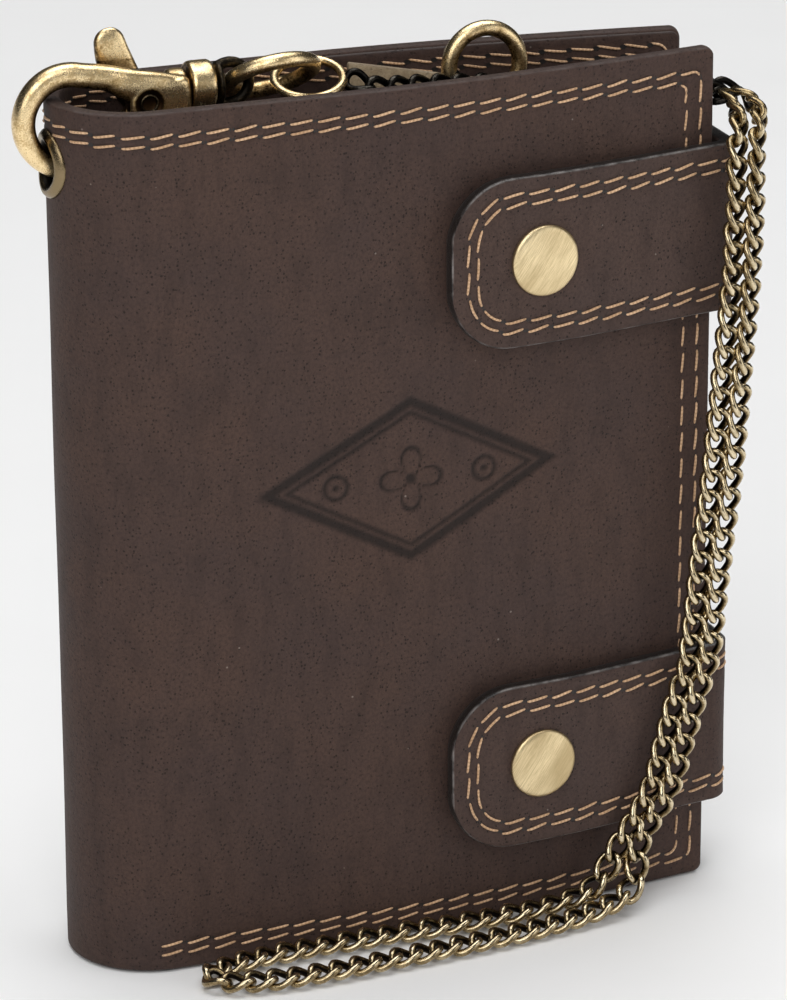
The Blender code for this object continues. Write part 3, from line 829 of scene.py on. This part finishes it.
STRAP_SIDE_X = layout_box("strap_upper_side")[1].x - STRAP_T / 2
STRAP_TIP_X = layout_box("strap_upper_tab")[0].x
STRAP_BASE_X = layout_box("strap_upper_base")[0].x
STRAP_BACK_GAP = 0.3
LIFT_FROM_X = 92  # from here to the snap, the tab rises off the cover
SNAP_X = middle("snap_socket_upper").x
CAP_R = layout_box("snap_cap_upper")[1].z - middle("snap_cap_upper").z


def strap_front(x):
    """The tab's outer face on the front."""
    lift = share(x, LIFT_FROM_X, SNAP_X + CAP_R)
    return -(half_thickness(x) + STRAP_GAP_FORE + STRAP_LIFT * lift + STRAP_T)


def strap_plan():
    r = STRAP_BEND_R
    centre_x = STRAP_SIDE_X - r
    back_y = half_thickness(STRAP_SIDE_X) + STRAP_BACK_GAP + STRAP_T / 2
    front_y = strap_front(STRAP_SIDE_X) + STRAP_T / 2
    xs = np.linspace(STRAP_BASE_X, centre_x, 60)
    base = [(x, half_thickness(x) + STRAP_BACK_GAP + STRAP_T) for x in xs]
    rear = arc_points((centre_x, back_y - r), r + STRAP_T / 2, 90, 0, 24)[1:]
    front = arc_points((centre_x, front_y + r), r + STRAP_T / 2, 0, -90, 24)
    tab = [(x, strap_front(x)) for x in np.linspace(centre_x, STRAP_TIP_X, 90)][1:]
    plan = Plan(base + rear + front + tab, -1)
    lengths = np.cumsum([len(base) - 1, len(rear), 1, len(front) - 1])
    return plan, [float(plan.s[i]) for i in lengths]


STRAP, STRAP_STOPS = strap_plan()
STRAP_END = float(STRAP.s[-1])


def strap_seam(s, z, mid_z, half):
    """Distance from a strap's face to its nearest row, following the rounded tip."""
    v = abs(z - mid_z)
    near = FAR_OFF
    for row in STRAP_ROWS:
        corner = STRAP_END_R - row
        u = s - (STRAP_END - STRAP_END_R)
        w = v - (half - STRAP_END_R)
        if u > 0 and w > 0:
            gap = abs(math.hypot(u, w) - corner)
        elif u > 0:
            gap = abs(u - corner)
        else:
            gap = abs(half - row - v)
        if s < 6:
            gap = min(gap, abs(s - row)) if v < half - row + 0.4 else gap
        near = min(near, gap)
    return near


def straps():
    lengths = (  # name, first and last stop, what it rides on, the CAD node it stands for
        ("base", 0, STRAP_STOPS[0], ("back",), "base"),
        ("fold_rear", STRAP_STOPS[0], STRAP_STOPS[1], ("back", "side"), None),
        ("side", STRAP_STOPS[1], STRAP_STOPS[2], ("side",), "side"),
        ("fold_front", STRAP_STOPS[2], STRAP_STOPS[3], ("side", "tab"), None),
        ("tab", STRAP_STOPS[3], STRAP_END, ("tab",), "tab"),
    )
    for label in ("upper", "lower"):
        lo, hi = (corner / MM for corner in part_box(f"strap_{label}_tab"))
        mid_z, half = (lo.z + hi.z) / 2, (hi.z - lo.z) / 2
        bodies = {"back": "back", "side": f"strap_{label}_side", "tab": f"strap_{label}_tab"}

        def relief(s, z, face):
            wave, depth = (0.12, 0.12) if face == OUTER else (0.036, 0.06)
            return wave * ripple(s, z, 50 / 3, mid_z) + groove(strap_seam(s, z, mid_z, half), depth)

        # painted shade along the strap's seam grooves
        def press(s, z, face):
            return bell(strap_seam(s, z, mid_z, half), 0.5) * 0.2 if face == OUTER else 0.0

        rows_z = [mid_z + side * (half - row) for side in (-1, 1) for row in STRAP_ROWS]
        up = graded(mid_z - half, mid_z + half, rows_z, 0.9, 0.3, 0.9)
        for name, s0, s1, on, node in lengths:
            lines = STRAP_ROWS if name == "base" else []
            coarse = 0.45 if "fold" in name else 0.8
            shape = {
                "along": graded(s0, s1, lines, coarse, 0.3, 0.9),
                "up": up,
                "ends": (2.0 if name == "base" else None, STRAP_END_R if name == "tab" else None),
                "relief": relief,
                "press": press,
            }
            length = (STRAP, s0, s1, mid_z - half, mid_z + half, STRAP_T)
            made = panel(f"strap_{label}_{name}_hide", *length, STRAP_HIDE, "strap_leather", **shape)
            if node:
                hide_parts(f"strap_{label}_{node}")
            put_on(made, [bodies[b] for b in on], STRAP, s0, s1)
        stitch_strap(label, mid_z, half, bodies, lengths, relief)


def stitch_strap(label, mid_z, half, bodies, lengths, relief):
    sewing = Sewing()

    def key_at(s):
        return next(name for name, s0, s1, _, _ in lengths if s <= s1 + 1e-6)

    for i, row in enumerate(STRAP_ROWS):
        low, high, tip = mid_z - half + row, mid_z + half - row, STRAP_END - row
        corner = STRAP_END_R - row
        points = [(row, mid_z), (row, high), (tip, high), (tip, low), (row, low), (row, mid_z)]
        path = rounded_path(points, [0.9, corner, corner, 0.9])
        sew_row(sewing, STRAP, path, key_at, lambda s, z: relief(s, z, OUTER), 1, lean=-0.26, seed=31 + i)
    for name, s0, s1, on, _ in lengths:
        if name in sewing.parts:
            put_on(sewing.make(f"thread_{label}_{name}", name), [bodies[b] for b in on], STRAP, s0, s1)


# ---- snaps


def turned(profile, origin, axis, steps=48):
    """A closed solid of revolution: a profile of (radius, distance along the axis)."""
    axis = Vector(axis).normalized()
    side = axis.orthogonal().normalized()
    other = axis.cross(side)
    verts = [
        Vector(origin) + axis * rise + (side * c + other * s) * max(radius, 1e-3)
        for radius, rise in profile
        for c, s in circle(steps)
    ]
    return verts, bands(len(profile), steps) + lids(len(profile), steps)


def lathe(name, profile, origin, axis, material, slot, steps=64):
    """A turned skin, open at both ends of its profile."""
    verts, faces = turned(profile, origin, axis, steps)
    return new_mesh(name, verts, faces[:-2], material, slot)


def snap_caps():
    """Domed brass caps with a rolled rim, pressed a little into the strap."""
    slope = (strap_front(SNAP_X + 1) - strap_front(SNAP_X - 1)) / 2
    axis = Vector((slope, -1, 0)).normalized()
    for label in ("upper", "lower"):
        z = middle(f"snap_cap_{label}").z
        origin = Vector((SNAP_X, strap_front(SNAP_X), z))
        profile = [(CAP_R - 0.5, -0.1), (CAP_R - 0.05, 0.02), (CAP_R, 0.2), (CAP_R - 0.02, 0.45)]
        profile += [(CAP_R - 0.12, 0.62), (CAP_R - 0.3, 0.72)]
        dome = [(CAP_R - 0.5) * (1 - t) for t in np.linspace(0, 1, 14)]
        profile += [(r, 1.05 - 0.28 * (r / CAP_R) ** 2) for r in dome]
        made = lathe(f"cap_{label}", profile, origin, axis, CAP_BRASS, "pale_brass")
        put_wear_and_shade(made, lambda p, n: 1.0)
        stand_in(made, f"strap_{label}_tab", f"snap_cap_{label}")


# ---- linings and pockets


SHEETS = {
    "back": ("back_lining", "note_pocket", "document_pocket", "note_divider"),
    "front": ("front_lining", "card_slot_top", "card_slot_middle", "card_slot_bottom"),
}
DIVIDER_DROP = 9.2  # how far the divider's top edge falls towards the fore-edge


def sheets():
    """The linings, pockets and card slots as soft-edged leather, each on its CAD sheet's place."""
    for body, nodes in SHEETS.items():
        for node in nodes:
            made = sheet(node, 1 if body == "back" else -1, node == "note_divider")
            stand_in(made, body, node)


def sheet(node, side, raw):
    lo, hi = layout_box(node)
    inner = min(abs(lo.y), abs(hi.y))
    thick = 0.9 if raw else 0.7
    depth = half_thickness(hi.x) - inner - thick
    line = [(x, side * (half_thickness(x) - depth)) for x in np.linspace(hi.x, lo.x, 60)]
    plan = Plan(line, side)
    length, crease_z = float(plan.s[-1]), hi.z - 1.6

    def relief(s, z, face):
        wave = ripple(s, z, 20, depth * 5) * 0.05
        crease = min(abs(z - crease_z), 3) if face == INNER else 3
        return wave - 0.06 * bell(crease, 0.3)

    shape = {
        "along": graded(0, length, [], 2.0, 1.0, 0),
        "up": graded(lo.z, hi.z, [crease_z], 2.0, 0.3, 0.6),
        "ends": (CORNER_R, 0.4),
        "edge_r": 0.3,
        "relief": relief,
        "drop": DIVIDER_DROP if raw else 0.0,
    }
    finish = (RAW_HIDE, "raw_leather") if raw else (INNER_HIDE, "lining_leather")
    return panel(f"{node}_hide", plan, 0, length, lo.z, hi.z, thick, *finish, **shape)


# ---- cast hardware


def smooth_line(points, per=6):
    """Points of any size joined by a Catmull-Rom curve."""
    pts = [np.array(p, float) for p in points]
    pts = [2 * pts[0] - pts[1]] + pts + [2 * pts[-1] - pts[-2]]
    out = []
    for a, b, c, d in zip(pts, pts[1:], pts[2:], pts[3:]):
        for t in np.arange(per) / per:
            square, cube = 2 * a - 5 * b + 4 * c - d, 3 * b - a - 3 * c + d
            out.append(0.5 * (2 * b + (c - a) * t + square * t**2 + cube * t**3))
    return out + [pts[-2]]


def sweep(stations, power=2.5, sides=28, blunt=0.5):
    """A closed bar in the hook's upright plane. Each station is x, z, half-width, middle y, half-depth."""
    line = smooth_line(stations)
    rings = []
    for i, (x, z, w, y, h) in enumerate(line):
        ahead = line[min(i + 1, len(line) - 1)] - line[max(i - 1, 0)]
        rings.append((Vector((x, y, z)), Vector((ahead[0], 0, ahead[1])).normalized(), w, h))
    tips = []
    for (centre, tangent, w, h), sign in ((rings[0], -1), (rings[-1], 1)):
        tip = []
        for q in (k / 5 * math.pi / 2 for k in range(1, 6)):
            scale = max(math.cos(q), 0.02)
            beyond = tangent * sign * math.sin(q) * min(w, h) * blunt
            tip.append((centre + beyond, tangent, w * scale, h * scale))
        tips.append(tip)
    rings = tips[0][::-1] + rings + tips[1]
    verts = []
    for centre, tangent, w, h in rings:
        across = tangent.cross(Vector((0, 1, 0)))
        for c, s in circle(sides):
            u = math.copysign(abs(c) ** (2 / power), c) * w
            v = math.copysign(abs(s) ** (2 / power), s) * h
            verts.append(centre + across * u + Vector((0, v, 0)))
    return verts, bands(len(rings), sides) + lids(len(rings), sides)


def oval(centre, long, wide, half_long, half_wide, wire, steps=72, sides=20):
    """A ring of round wire, of this radius, on two half-axes."""
    long, wide = Vector(long).normalized(), Vector(wide).normalized()
    up = long.cross(wide)
    verts = []
    for c, s in circle(steps):
        here = Vector(centre) + long * c * half_long + wide * s * half_wide
        out = (long * c * half_wide + wide * s * half_long).normalized()
        verts += [here + (out * a + up * b) * wire for a, b in circle(sides)]
    return verts, bands(steps, sides, around=True)


def cast(name, solids, material, slot, wear_and_shade, voxel=0.15, cutter=None):
    """Joins closed solids into one casting with softened corners and an even skin."""
    verts, faces = [], []
    for more, sides in solids:
        base = len(verts)
        verts += more
        faces += [tuple(base + i for i in face) for face in sides]
    made = new_mesh(name, verts, faces, material, slot)
    face_outwards(made.data)
    remesh = made.modifiers.new("cast", "REMESH")
    remesh.mode, remesh.voxel_size, remesh.use_smooth_shade = "VOXEL", voxel * MM, True
    if cutter:
        tool = new_mesh(f"{name}_cutter", *cutter, material)
        face_outwards(tool.data)
        cut = made.modifiers.new("cut", "BOOLEAN")
        cut.operation, cut.solver, cut.object = "DIFFERENCE", "EXACT", tool
    soft = made.modifiers.new("soft", "SMOOTH")
    soft.factor, soft.iterations = 0.5, 16
    bpy.context.view_layer.update()
    done = bpy.data.meshes.new_from_object(made.evaluated_get(bpy.context.evaluated_depsgraph_get()))
    made.modifiers.clear()
    made.data = done
    if cutter:
        bpy.data.objects.remove(tool)
    done.polygons.foreach_set("use_smooth", [True] * len(done.polygons))
    put_wear_and_shade(made, wear_and_shade)
    return made


HOOK_X, HOOK_Z, HOOK_R, HOOK_WIRE = 3.2, 123.7, 6.6, 1.6
EYE_R, EYE_WIRE = 2.9, 0.8
RING_WIDE, RING_WIRE, RING_ROLL = 5.8, 1.12, -34
END_WIRE = 1.15
SMALL_R, SMALL_WIRE, SMALL_AXES = 4.8, 0.62, ((0.9945, 0, 0.1045), (-0.032, 0.952, 0.304))
RIVET = middle("hook_rivet")
SWIVEL = middle("swivel")
SWIVEL_Z = SWIVEL.z
EYE = layout(Vector(joint("ring_large_tilt")["pos_m"]))
FAR = layout(Vector(joint("ring_small_tilt")["pos_m"]))


def hook_wear_and_shade(point, normal):
    """Bright on the outside; painted shade on the hook's inner curve and on faces turned down, backwards or
    to the right; dark patina in the groove round the rivet.
    """
    inward = Vector((HOOK_X - point.x, 0, HOOK_Z - point.z))
    inside = max(normal.dot(inward.normalized()), 0) if point.x < 11 else 0.0
    low = max(-normal.z, 0) if point.x > 11 else 0.0
    groove_at = math.hypot(point.x - RIVET.x, point.z - RIVET.z) - 1.75
    sunk = bell(groove_at, 0.35) if point.y < -2 else 0.0
    return 0.9 - 0.8 * inside - 0.35 * low - 0.5 * max(normal.y, 0) - 0.5 * max(normal.x - 0.4, 0) - sunk


def pillow(outline, layers):
    """A closed slab of an upright outline, in layers of (y, scale) about its middle."""
    count = len(outline)
    middle_x, middle_z = np.mean(np.array(outline), axis=0)
    verts = [
        Vector((middle_x + (x - middle_x) * scale, y, middle_z + (z - middle_z) * scale))
        for y, scale in layers
        for x, z in outline
    ]
    return verts, bands(len(layers), count) + lids(len(layers), count)


def hook():
    arm = [(18.6, 126.9, 2.2, -2.1, 1.3), (15.6, 127.3, 2.6, -2.1, 1.35), (12.8, 127.9, 2.55, -2.05, 1.4)]
    arm += [(10.4, 128.8, 2.15, -1.75, 1.5), (8.0, 129.6, 1.8, -1.05, 1.6)]
    for angle in range(75, 273, 11):
        q = math.radians(angle)
        wide = HOOK_WIRE * (1.08 - 0.14 * (angle - 75) / 197)
        forward = -0.6 * max((119 - angle) / 44, 0) ** 1.5
        arm.append((HOOK_X + HOOK_R * math.cos(q), HOOK_Z + HOOK_R * math.sin(q), wide, forward, HOOK_WIRE))
    cheek = [(10.9, 124.8), (11.0, 126.8), (12.6, 128.9), (16.5, 128.9), (19.6, 128.7), (19.6, 123.2)]
    cheek += [(17.5, 121.6), (14.5, 120.9), (12.2, 121.7), (11.1, 123.2), (10.9, 124.8)]
    layers = [(-3.5, 0.84), (-3.25, 0.94), (-2.7, 1.0), (-1.5, 1.0), (-1.0, 0.92)]
    slab = pillow(smooth_line(cheek, 3)[:-1], layers)
    neck = [(1.9, 16.8), (2.6, 17.3), (2.75, 18.0), (2.75, 19.3), (2.5, 19.65)]
    neck = turned(neck, (0, 0, SWIVEL_Z), (1, 0, 0))
    recess = turned([(1.75, -6), (1.75, -2.9)], (RIVET.x, 0, RIVET.z), (0, 1, 0))
    solids = [sweep(arm), slab, neck]
    made = cast("hook_casting", solids, AGED, "aged_brass", hook_wear_and_shade, cutter=recess)
    stand_in(made, "hook", "hook_body")
    head = [(0, 4.6), (1.1, 4.55), (1.1, -2.4), (1.35, -2.4), (1.35, -3.25), (1.28, -3.42), (1.12, -3.46)]
    head += [(0.98, -3.35), (0.9, -3.1), (0.5, -3.05), (0, -3.25)]
    rivet = lathe("rivet_head", head, (RIVET.x, 0, RIVET.z), (0, 1, 0), DARK_BRASS, "dark_brass", 32)
    put_wear_and_shade(rivet, lambda p, n: 0.6 if math.hypot(p.x - RIVET.x, p.z - RIVET.z) > 1.0 else 0.2)
    stand_in(rivet, "hook", "hook_rivet")


def gate():
    lever = [(13.2, 125.5, 2.0, 3.1, 1.0), (12.2, 127.6, 2.4, 3.1, 1.0), (11.2, 129.6, 2.55, 3.1, 0.95)]
    lever += [(10.5, 131.4, 2.5, 3.1, 0.9), (10.05, 133.3, 2.25, 3.1, 0.85)]
    bar = [(14.2, 125.6, 1.6, 0.3, 0.95), (10.9, 122.3, 1.5, 0.3, 0.95), (7.2, 118.4, 1.2, 0.3, 0.9)]
    barrel = turned([(2.0, -0.6), (2.1, -0.4), (2.1, 3.8), (1.9, 4.0)], (RIVET.x, 0, RIVET.z), (0, 1, 0))

    # painted shade on faces turned sideways or backwards and below z 131; everything below z 129.5 is dark
    def wear_and_shade(point, normal):
        edge = max(-normal.x, 0) * 0.7 + max(normal.x - 0.5, 0) * 0.7
        return 0.95 - edge - 0.4 * max(normal.y, 0) - 0.4 * (point.z < 131) if point.z > 129.5 else 0.15

    solids = [sweep(lever, 3.6, blunt=2.6), sweep(bar, 3), barrel]
    made = cast("gate_casting", solids, AGED, "aged_brass", wear_and_shade, 0.17)
    stand_in(made, "gate", "hook_gate")


def swivel():
    along = (1, 0, 0)
    start = Vector((0, 0, SWIVEL_Z))
    collar = [(1.6, 19.95), (3.0, 20.0), (3.4, 20.15), (3.55, 20.6), (3.55, 23.1), (3.35, 23.5), (2.7, 23.7)]
    solids = [turned(collar + [(1.5, 23.8)], start, along), turned([(1.5, 18.4), (1.5, 20.4)], start, along)]
    made = cast("swivel_collar", solids, AGED, "aged_brass", collar_shade)
    stand_in(made, "swivel", "swivel")
    neck = [(1.5, 23.5), (2.3, 23.6), (2.3, 24.0), (3.0, 24.05), (3.15, 24.3), (3.15, 24.7), (2.9, 24.9)]
    eye = oval(EYE, along, (0, 0, 1), EYE_R, EYE_R, EYE_WIRE)
    solids = [turned(neck + [(1.2, 24.95)], start, along), eye]
    made = cast("swivel_eye", solids, DARK_BRASS, "dark_brass", eye_highlight, 0.17)
    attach(made, "swivel")


def collar_shade(point, normal):
    # painted shade on the collar's face turned towards the hook
    return 0.85 - 2.7 * max(-normal.x - 0.75, 0)


def eye_highlight(point, normal):
    # painted highlight on faces of the eye's far half turned towards +x
    return 0.35 + 0.6 * normal.x * (point.x > EYE.x)


def ring_piece(name, node, shape, centre, low=0.25):
    """A ring with painted light: brighter on faces turned outward and up, painted shade on faces turned
    inward. Its body has its CAD node's name.
    """

    def wear_and_shade(point, normal):
        outward = (point - centre).normalized()
        return low + (0.95 - low) * min(max(0.55 + 0.36 * outward.dot(normal) + 0.35 * normal.z, 0), 1)

    made = new_mesh(name, *shape, AGED, "aged_brass")
    put_wear_and_shade(made, wear_and_shade)
    stand_in(made, node, node)


def rings():
    half = (FAR - EYE).length / 2
    along = (FAR - EYE).normalized()
    roll = math.radians(RING_ROLL)
    wide = math.cos(roll) * Vector((0, 1, 0)) + math.sin(roll) * along.cross(Vector((0, 1, 0)))
    shape = oval((EYE + FAR) / 2, along, wide, half, RING_WIDE, RING_WIRE)
    ring_piece("oval_ring", "ring_large", shape, (EYE + FAR) / 2)
    small = middle("ring_small")
    shape = oval(small, *SMALL_AXES, SMALL_R, SMALL_R, SMALL_WIRE)
    ring_piece("round_ring", "ring_small", shape, small, 0.4)
    end = middle("end_ring")
    lo, hi = layout_box("end_ring")
    radius = (hi.x - lo.x) / 2 - 1.1  # the CAD ring's wire
    shape = oval(end, (1, 0, 0), (0, 0, 1), radius, radius, END_WIRE)
    ring_piece("chain_end_ring", "end_ring", shape, end)
    sleeve = Vector((end.x - radius * math.cos(0.5), end.y, end.z - radius * math.sin(0.5)))
    tangent = Vector((-math.sin(0.5), 0, math.cos(0.5)))
    profile = [(1.2, -1.9), (1.55, -1.8), (1.65, -1.4), (1.65, 1.4), (1.55, 1.8), (1.2, 1.9)]
    made = lathe("ring_sleeve", profile, sleeve, tangent, BLACKENED, "dark_brass", 32)
    put_wear_and_shade(made, lambda p, n: 0.0)
    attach(made, "end_ring")


def eyelet():
    """A rolled flange that hugs the spine, with its barrel going through."""
    lo, hi = layout_box("eyelet")
    outer, bore = (hi.z - lo.z) / 2, 3.1
    profile = [(bore, -3.6), (bore, -0.2), (bore + 0.08, 0.3), (bore + 0.35, 0.75), (bore + 0.75, 0.95)]
    profile += [(bore + 1.15, 0.85), (outer - 0.2, 0.45), (outer, 0.1), (outer - 0.15, -0.15)]
    made = lathe("eyelet_flange", profile, (0, 0, EYELET.z), (-1, 0, 0), DARK_BRASS, "dark_brass", 64)
    for vertex in made.data.vertices:
        y = layout(vertex.co).y
        vertex.co.x += (SPINE_R - math.sqrt(SPINE_R**2 - y**2)) * MM
    put_wear_and_shade(made, lambda p, n: -0.2 + 1.5 * (math.hypot(p.y, p.z - EYELET.z) > bore + 0.3))
    stand_in(made, "spine_mid", "eyelet")


# ---- chain


def link_shape(sides=10, steps=26):
    """One twisted curb link about the origin: length along x, face towards z."""
    half_long, half_wide, turn = CHAIN_PITCH / 2 + CHAIN_WIRE, 1.45, -math.radians(48)
    line = []
    for c, s in circle(steps):
        x, w = half_long * c, half_wide * s * (1 + 0.3 * c**2)
        twist = turn * x / half_long
        line.append(Vector((x, w * math.cos(twist), w * math.sin(twist))))
    verts, wear_and_shade = [], []
    for i, here in enumerate(line):
        along = (line[(i + 1) % steps] - line[i - 1]).normalized()
        out = (here - along * here.dot(along)).normalized()
        up = along.cross(out)
        for c, s in circle(sides):
            off = out * c + up * s
            verts.append(here + off * CHAIN_WIRE)
            # painted light: the link's faces and outer side are bright, its inner sides painted dark as shade
            wear_and_shade.append(0.05 + 0.35 * max(off.dot(out), -0.3) + 0.65 * abs(off.z))
    return verts, bands(steps, sides, around=True), wear_and_shade


LINK = link_shape()
SWING = layout(Vector(joint("chain_swing")["pos_m"]))
TRAIL = layout(Vector(joint("chain_trail")["pos_m"]))


def chain_run(name, body, nodes, points, face_at, seed, material=CHAIN_BRASS, dim=0.0):
    """Curb links laid along a run, one after the other, each turned a little from its neighbour."""
    rng = random.Random(seed)
    line = np.array(smooth_line(points, 10))
    reach = distances(line)
    count = max(int(round(reach[-1] / CHAIN_PITCH)), 1)
    pitch = reach[-1] / count
    verts, faces, wear_and_shade = [], [], []
    for i in range(count):
        places = [(i + 0.5 + shift) * pitch for shift in (0, 0.4, -0.4)]
        here, ahead, behind = (Vector([np.interp(s, reach, line[:, k]) for k in range(3)]) for s in places)
        along = (ahead - behind).normalized()
        face = face_at(here)
        face = (face - along * face.dot(along)).normalized()
        face = Matrix.Rotation(rng.uniform(-0.12, 0.12), 3, along) @ face
        across = face.cross(along)
        base = len(verts)
        verts += [here + along * v.x + across * v.y + face * v.z for v in LINK[0]]
        faces += [tuple(base + k for k in f) for f in LINK[1]]
        wear_and_shade += [w - dim for w in LINK[2]]
    made = new_mesh(name, verts, faces, material, "aged_brass")
    put_attribute(made, "wear_and_shade", wear_and_shade)
    stand_in(made, body, *nodes)


def settle(point, turn=0.9):
    """Faces forward and to the side on the way down, and up where the chain lies on the floor."""
    down, side = share(point.z, 13, 4), share(point.z, 55, 105)
    return Vector((0.2 + turn * side, -1 + 0.9 * down, down * 1.2))


def settle_front(point):
    return settle(point, 0.55)


def sideways(point):
    return Vector((0, -0.7, 1))


def chain():
    strand = Vector((2.95, -0.2, 0)) / 2
    start, end = middle("start_link"), middle("end_link")
    inner_a = [start, (46.5, -3.6, 124.9), (54.7, -3.4, 124.4), (62.4, -3.4, 123.7), (66.7, -3.4, 123.2)]
    inner_a += [(78, -3.4, 121.6), (90, -3.3, 120.0), (95, -3.4, 119.8), SWING + Vector((0.6, -0.6, -0.3))]
    inner_b = [end, (72, -0.3, 118), (80, -0.4, 119.0), (90, -0.7, 119.5), (95.5, -1.2, 119.9)]
    inner_b.append(SWING + strand * 1.6)
    for label, points, link, seed in (("a", inner_a, "start_link", 1), ("b", inner_b, "end_link", 2)):
        nodes = (f"chain_inner_{label}", link)
        chain_run(f"chain_inside_{label}", "chain_inner", nodes, points, sideways, seed, BLACKENED, 0.2)
    fall = [(100.6, -6.6, 118.0), (100.4, -9.4, 117.0), (99.1, -12.1, 114.4), (98.5, -13.2, 107.3)]
    fall += [(98.0, -13.2, 92.6), (96.7, -13.2, 77.7), (95.4, -13.1, 62.6), TRAIL]
    for label, side, seed in (("a", -1, 3), ("b", 1, 4)):
        line = [Vector(p) + strand * side for p in fall]
        line.insert(0, SWING + Vector((0.2, -0.8, 0.1)) if side < 0 else SWING + strand * 1.4)
        face = settle_front if side < 0 else settle
        chain_run(f"chain_falling_{label}", "chain_fall", (f"chain_fall_{label}",), line, face, seed)
    lower = [TRAIL, (93.3, -13.0, 43.8), (92.2, -13.2, 36), (90.5, -13.4, 31.6), (88.5, -13.6, 24.8)]
    lower += [(86.0, -14.0, 17.4), (81.4, -14.3, 10)]
    floor = [(75, -15, 4), (68, -14.8, 2.2), (58, -14.5, 1.5), (42, -14.6, 1.5), (30, -14.9, 1.5)]
    floor += [(22, -15.6, 1.5), (16.5, -17.4, 1.5), (15.2, -19.4, 1.5), (16.8, -21.6, 1.5)]
    floor += [(22, -23, 1.5), (30, -23.4, 1.5)]
    floor += [(42, -22.6, 1.5), (56, -21.4, 1.5), (66, -20, 1.5), (74, -18.6, 2), (80.5, -17, 4)]
    line = [Vector(p) - strand for p in lower] + [Vector(p) for p in floor]
    line += [Vector(p) + strand for p in reversed(lower)]
    chain_run("chain_loop", "chain_lower", ("chain_lower",), line, settle, 5)


# ---- carried-over CAD pieces


def carried_over():
    for name, obj in frame["nodes"].items():
        if obj.hide_render:
            continue
        obj.data.materials.clear()
        obj.data.materials.append(SNAP_BRASS)


# ---- stage, light and camera


def floor_material():
    n = Nodes(bpy.data.materials.new("floor"))
    co = n.add("ShaderNodeTexCoord").outputs["Object"]
    tone = n.mix(n.noise(co, 30), (0.93, 0.93, 0.93), (0.96, 0.96, 0.96))
    return n.finish(Base_Color=tone, Roughness=0.6, Specular_IOR_Level=0.1)


def area_light(name, place, target, size, power):
    light = bpy.data.lights.new(name, "AREA")
    light.shape, light.size, light.energy = "DISK", size, power
    lamp = bpy.data.objects.new(name, light)
    bpy.context.scene.collection.objects.link(lamp)
    lamp.location = place
    lamp.rotation_euler = (Vector(target) - lamp.location).to_track_quat("-Z", "Y").to_euler()
    lamp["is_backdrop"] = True


BACKDROP = 0.82  # how bright the world looks behind the floor; it lights the object far less


def studio():
    """A dim world, brighter overhead."""
    n = Nodes(bpy.data.worlds.new("studio"))
    direction = n.add("ShaderNodeTexCoord").outputs["Generated"]
    height = n.add("ShaderNodeSeparateXYZ", {0: direction}).outputs["Z"]
    seen = n.times(n.add("ShaderNodeLightPath").outputs["Is Camera Ray"], BACKDROP)
    strength = n.math("ADD", seen, n.ramp(height, 0.0, 0.7, 0.01, 0.04))
    return n.finish("Background", Color=(1, 1, 1), Strength=strength)


def stage():
    mesh = bpy.data.meshes.new("floor")
    mesh.from_pydata([(-4, -4, 0), (4, -4, 0), (4, 4, 0), (-4, 4, 0)], [], [(0, 1, 2, 3)])
    plane = bpy.data.objects.new("floor", mesh)
    bpy.context.scene.collection.objects.link(plane)
    plane.location.z = min(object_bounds()[0][2], 0) - 0.0002
    mesh.materials.append(floor_material())
    plane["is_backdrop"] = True
    scene = bpy.context.scene
    scene.view_settings.view_transform = "Standard"
    scene.world = studio()
    centre = (0, 0, 0.06)
    area_light("key", (-0.5, -0.8, 0.7), centre, 1.0, 6.5)
    area_light("fill", (0.8, -0.8, 0.4), centre, 0.9, 2.6)
    sun = bpy.data.lights.new("overhead", "SUN")
    sun.energy, sun.angle = 2.3, math.radians(60)
    overhead = bpy.data.objects.new("overhead", sun)
    bpy.context.scene.collection.objects.link(overhead)
    overhead.rotation_euler = (math.radians(-8), math.radians(5), 0)
    overhead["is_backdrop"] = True


def camera():
    """Low from the spine's side, looking slightly down, with the long lens of a product shot."""
    azimuth, elevation, roll = math.radians(20.17), math.radians(19.79), math.radians(-0.34)
    target = world(49.99, 0, 62.59)
    away = Vector((-math.sin(azimuth), -math.cos(azimuth), 0)) * math.cos(elevation)
    away.z = math.sin(elevation)
    data = bpy.data.cameras.new("camera")
    data.lens, data.sensor_fit, data.sensor_width = 183.8, "AUTO", 36
    data.clip_end = 20
    view = bpy.data.objects.new("camera", data)
    bpy.context.scene.collection.objects.link(view)
    view.location = target + away * 0.7333
    turn = (target - view.location).to_track_quat("-Z", "Y").to_matrix()
    view.rotation_euler = (turn @ Matrix.Rotation(roll, 3, "Z")).to_euler()
    bpy.context.scene.camera = view


covers()
stitch_covers()
sheets()
straps()
snap_caps()
eyelet()
hook()
gate()
swivel()
rings()
chain()
carried_over()
stage()
camera()
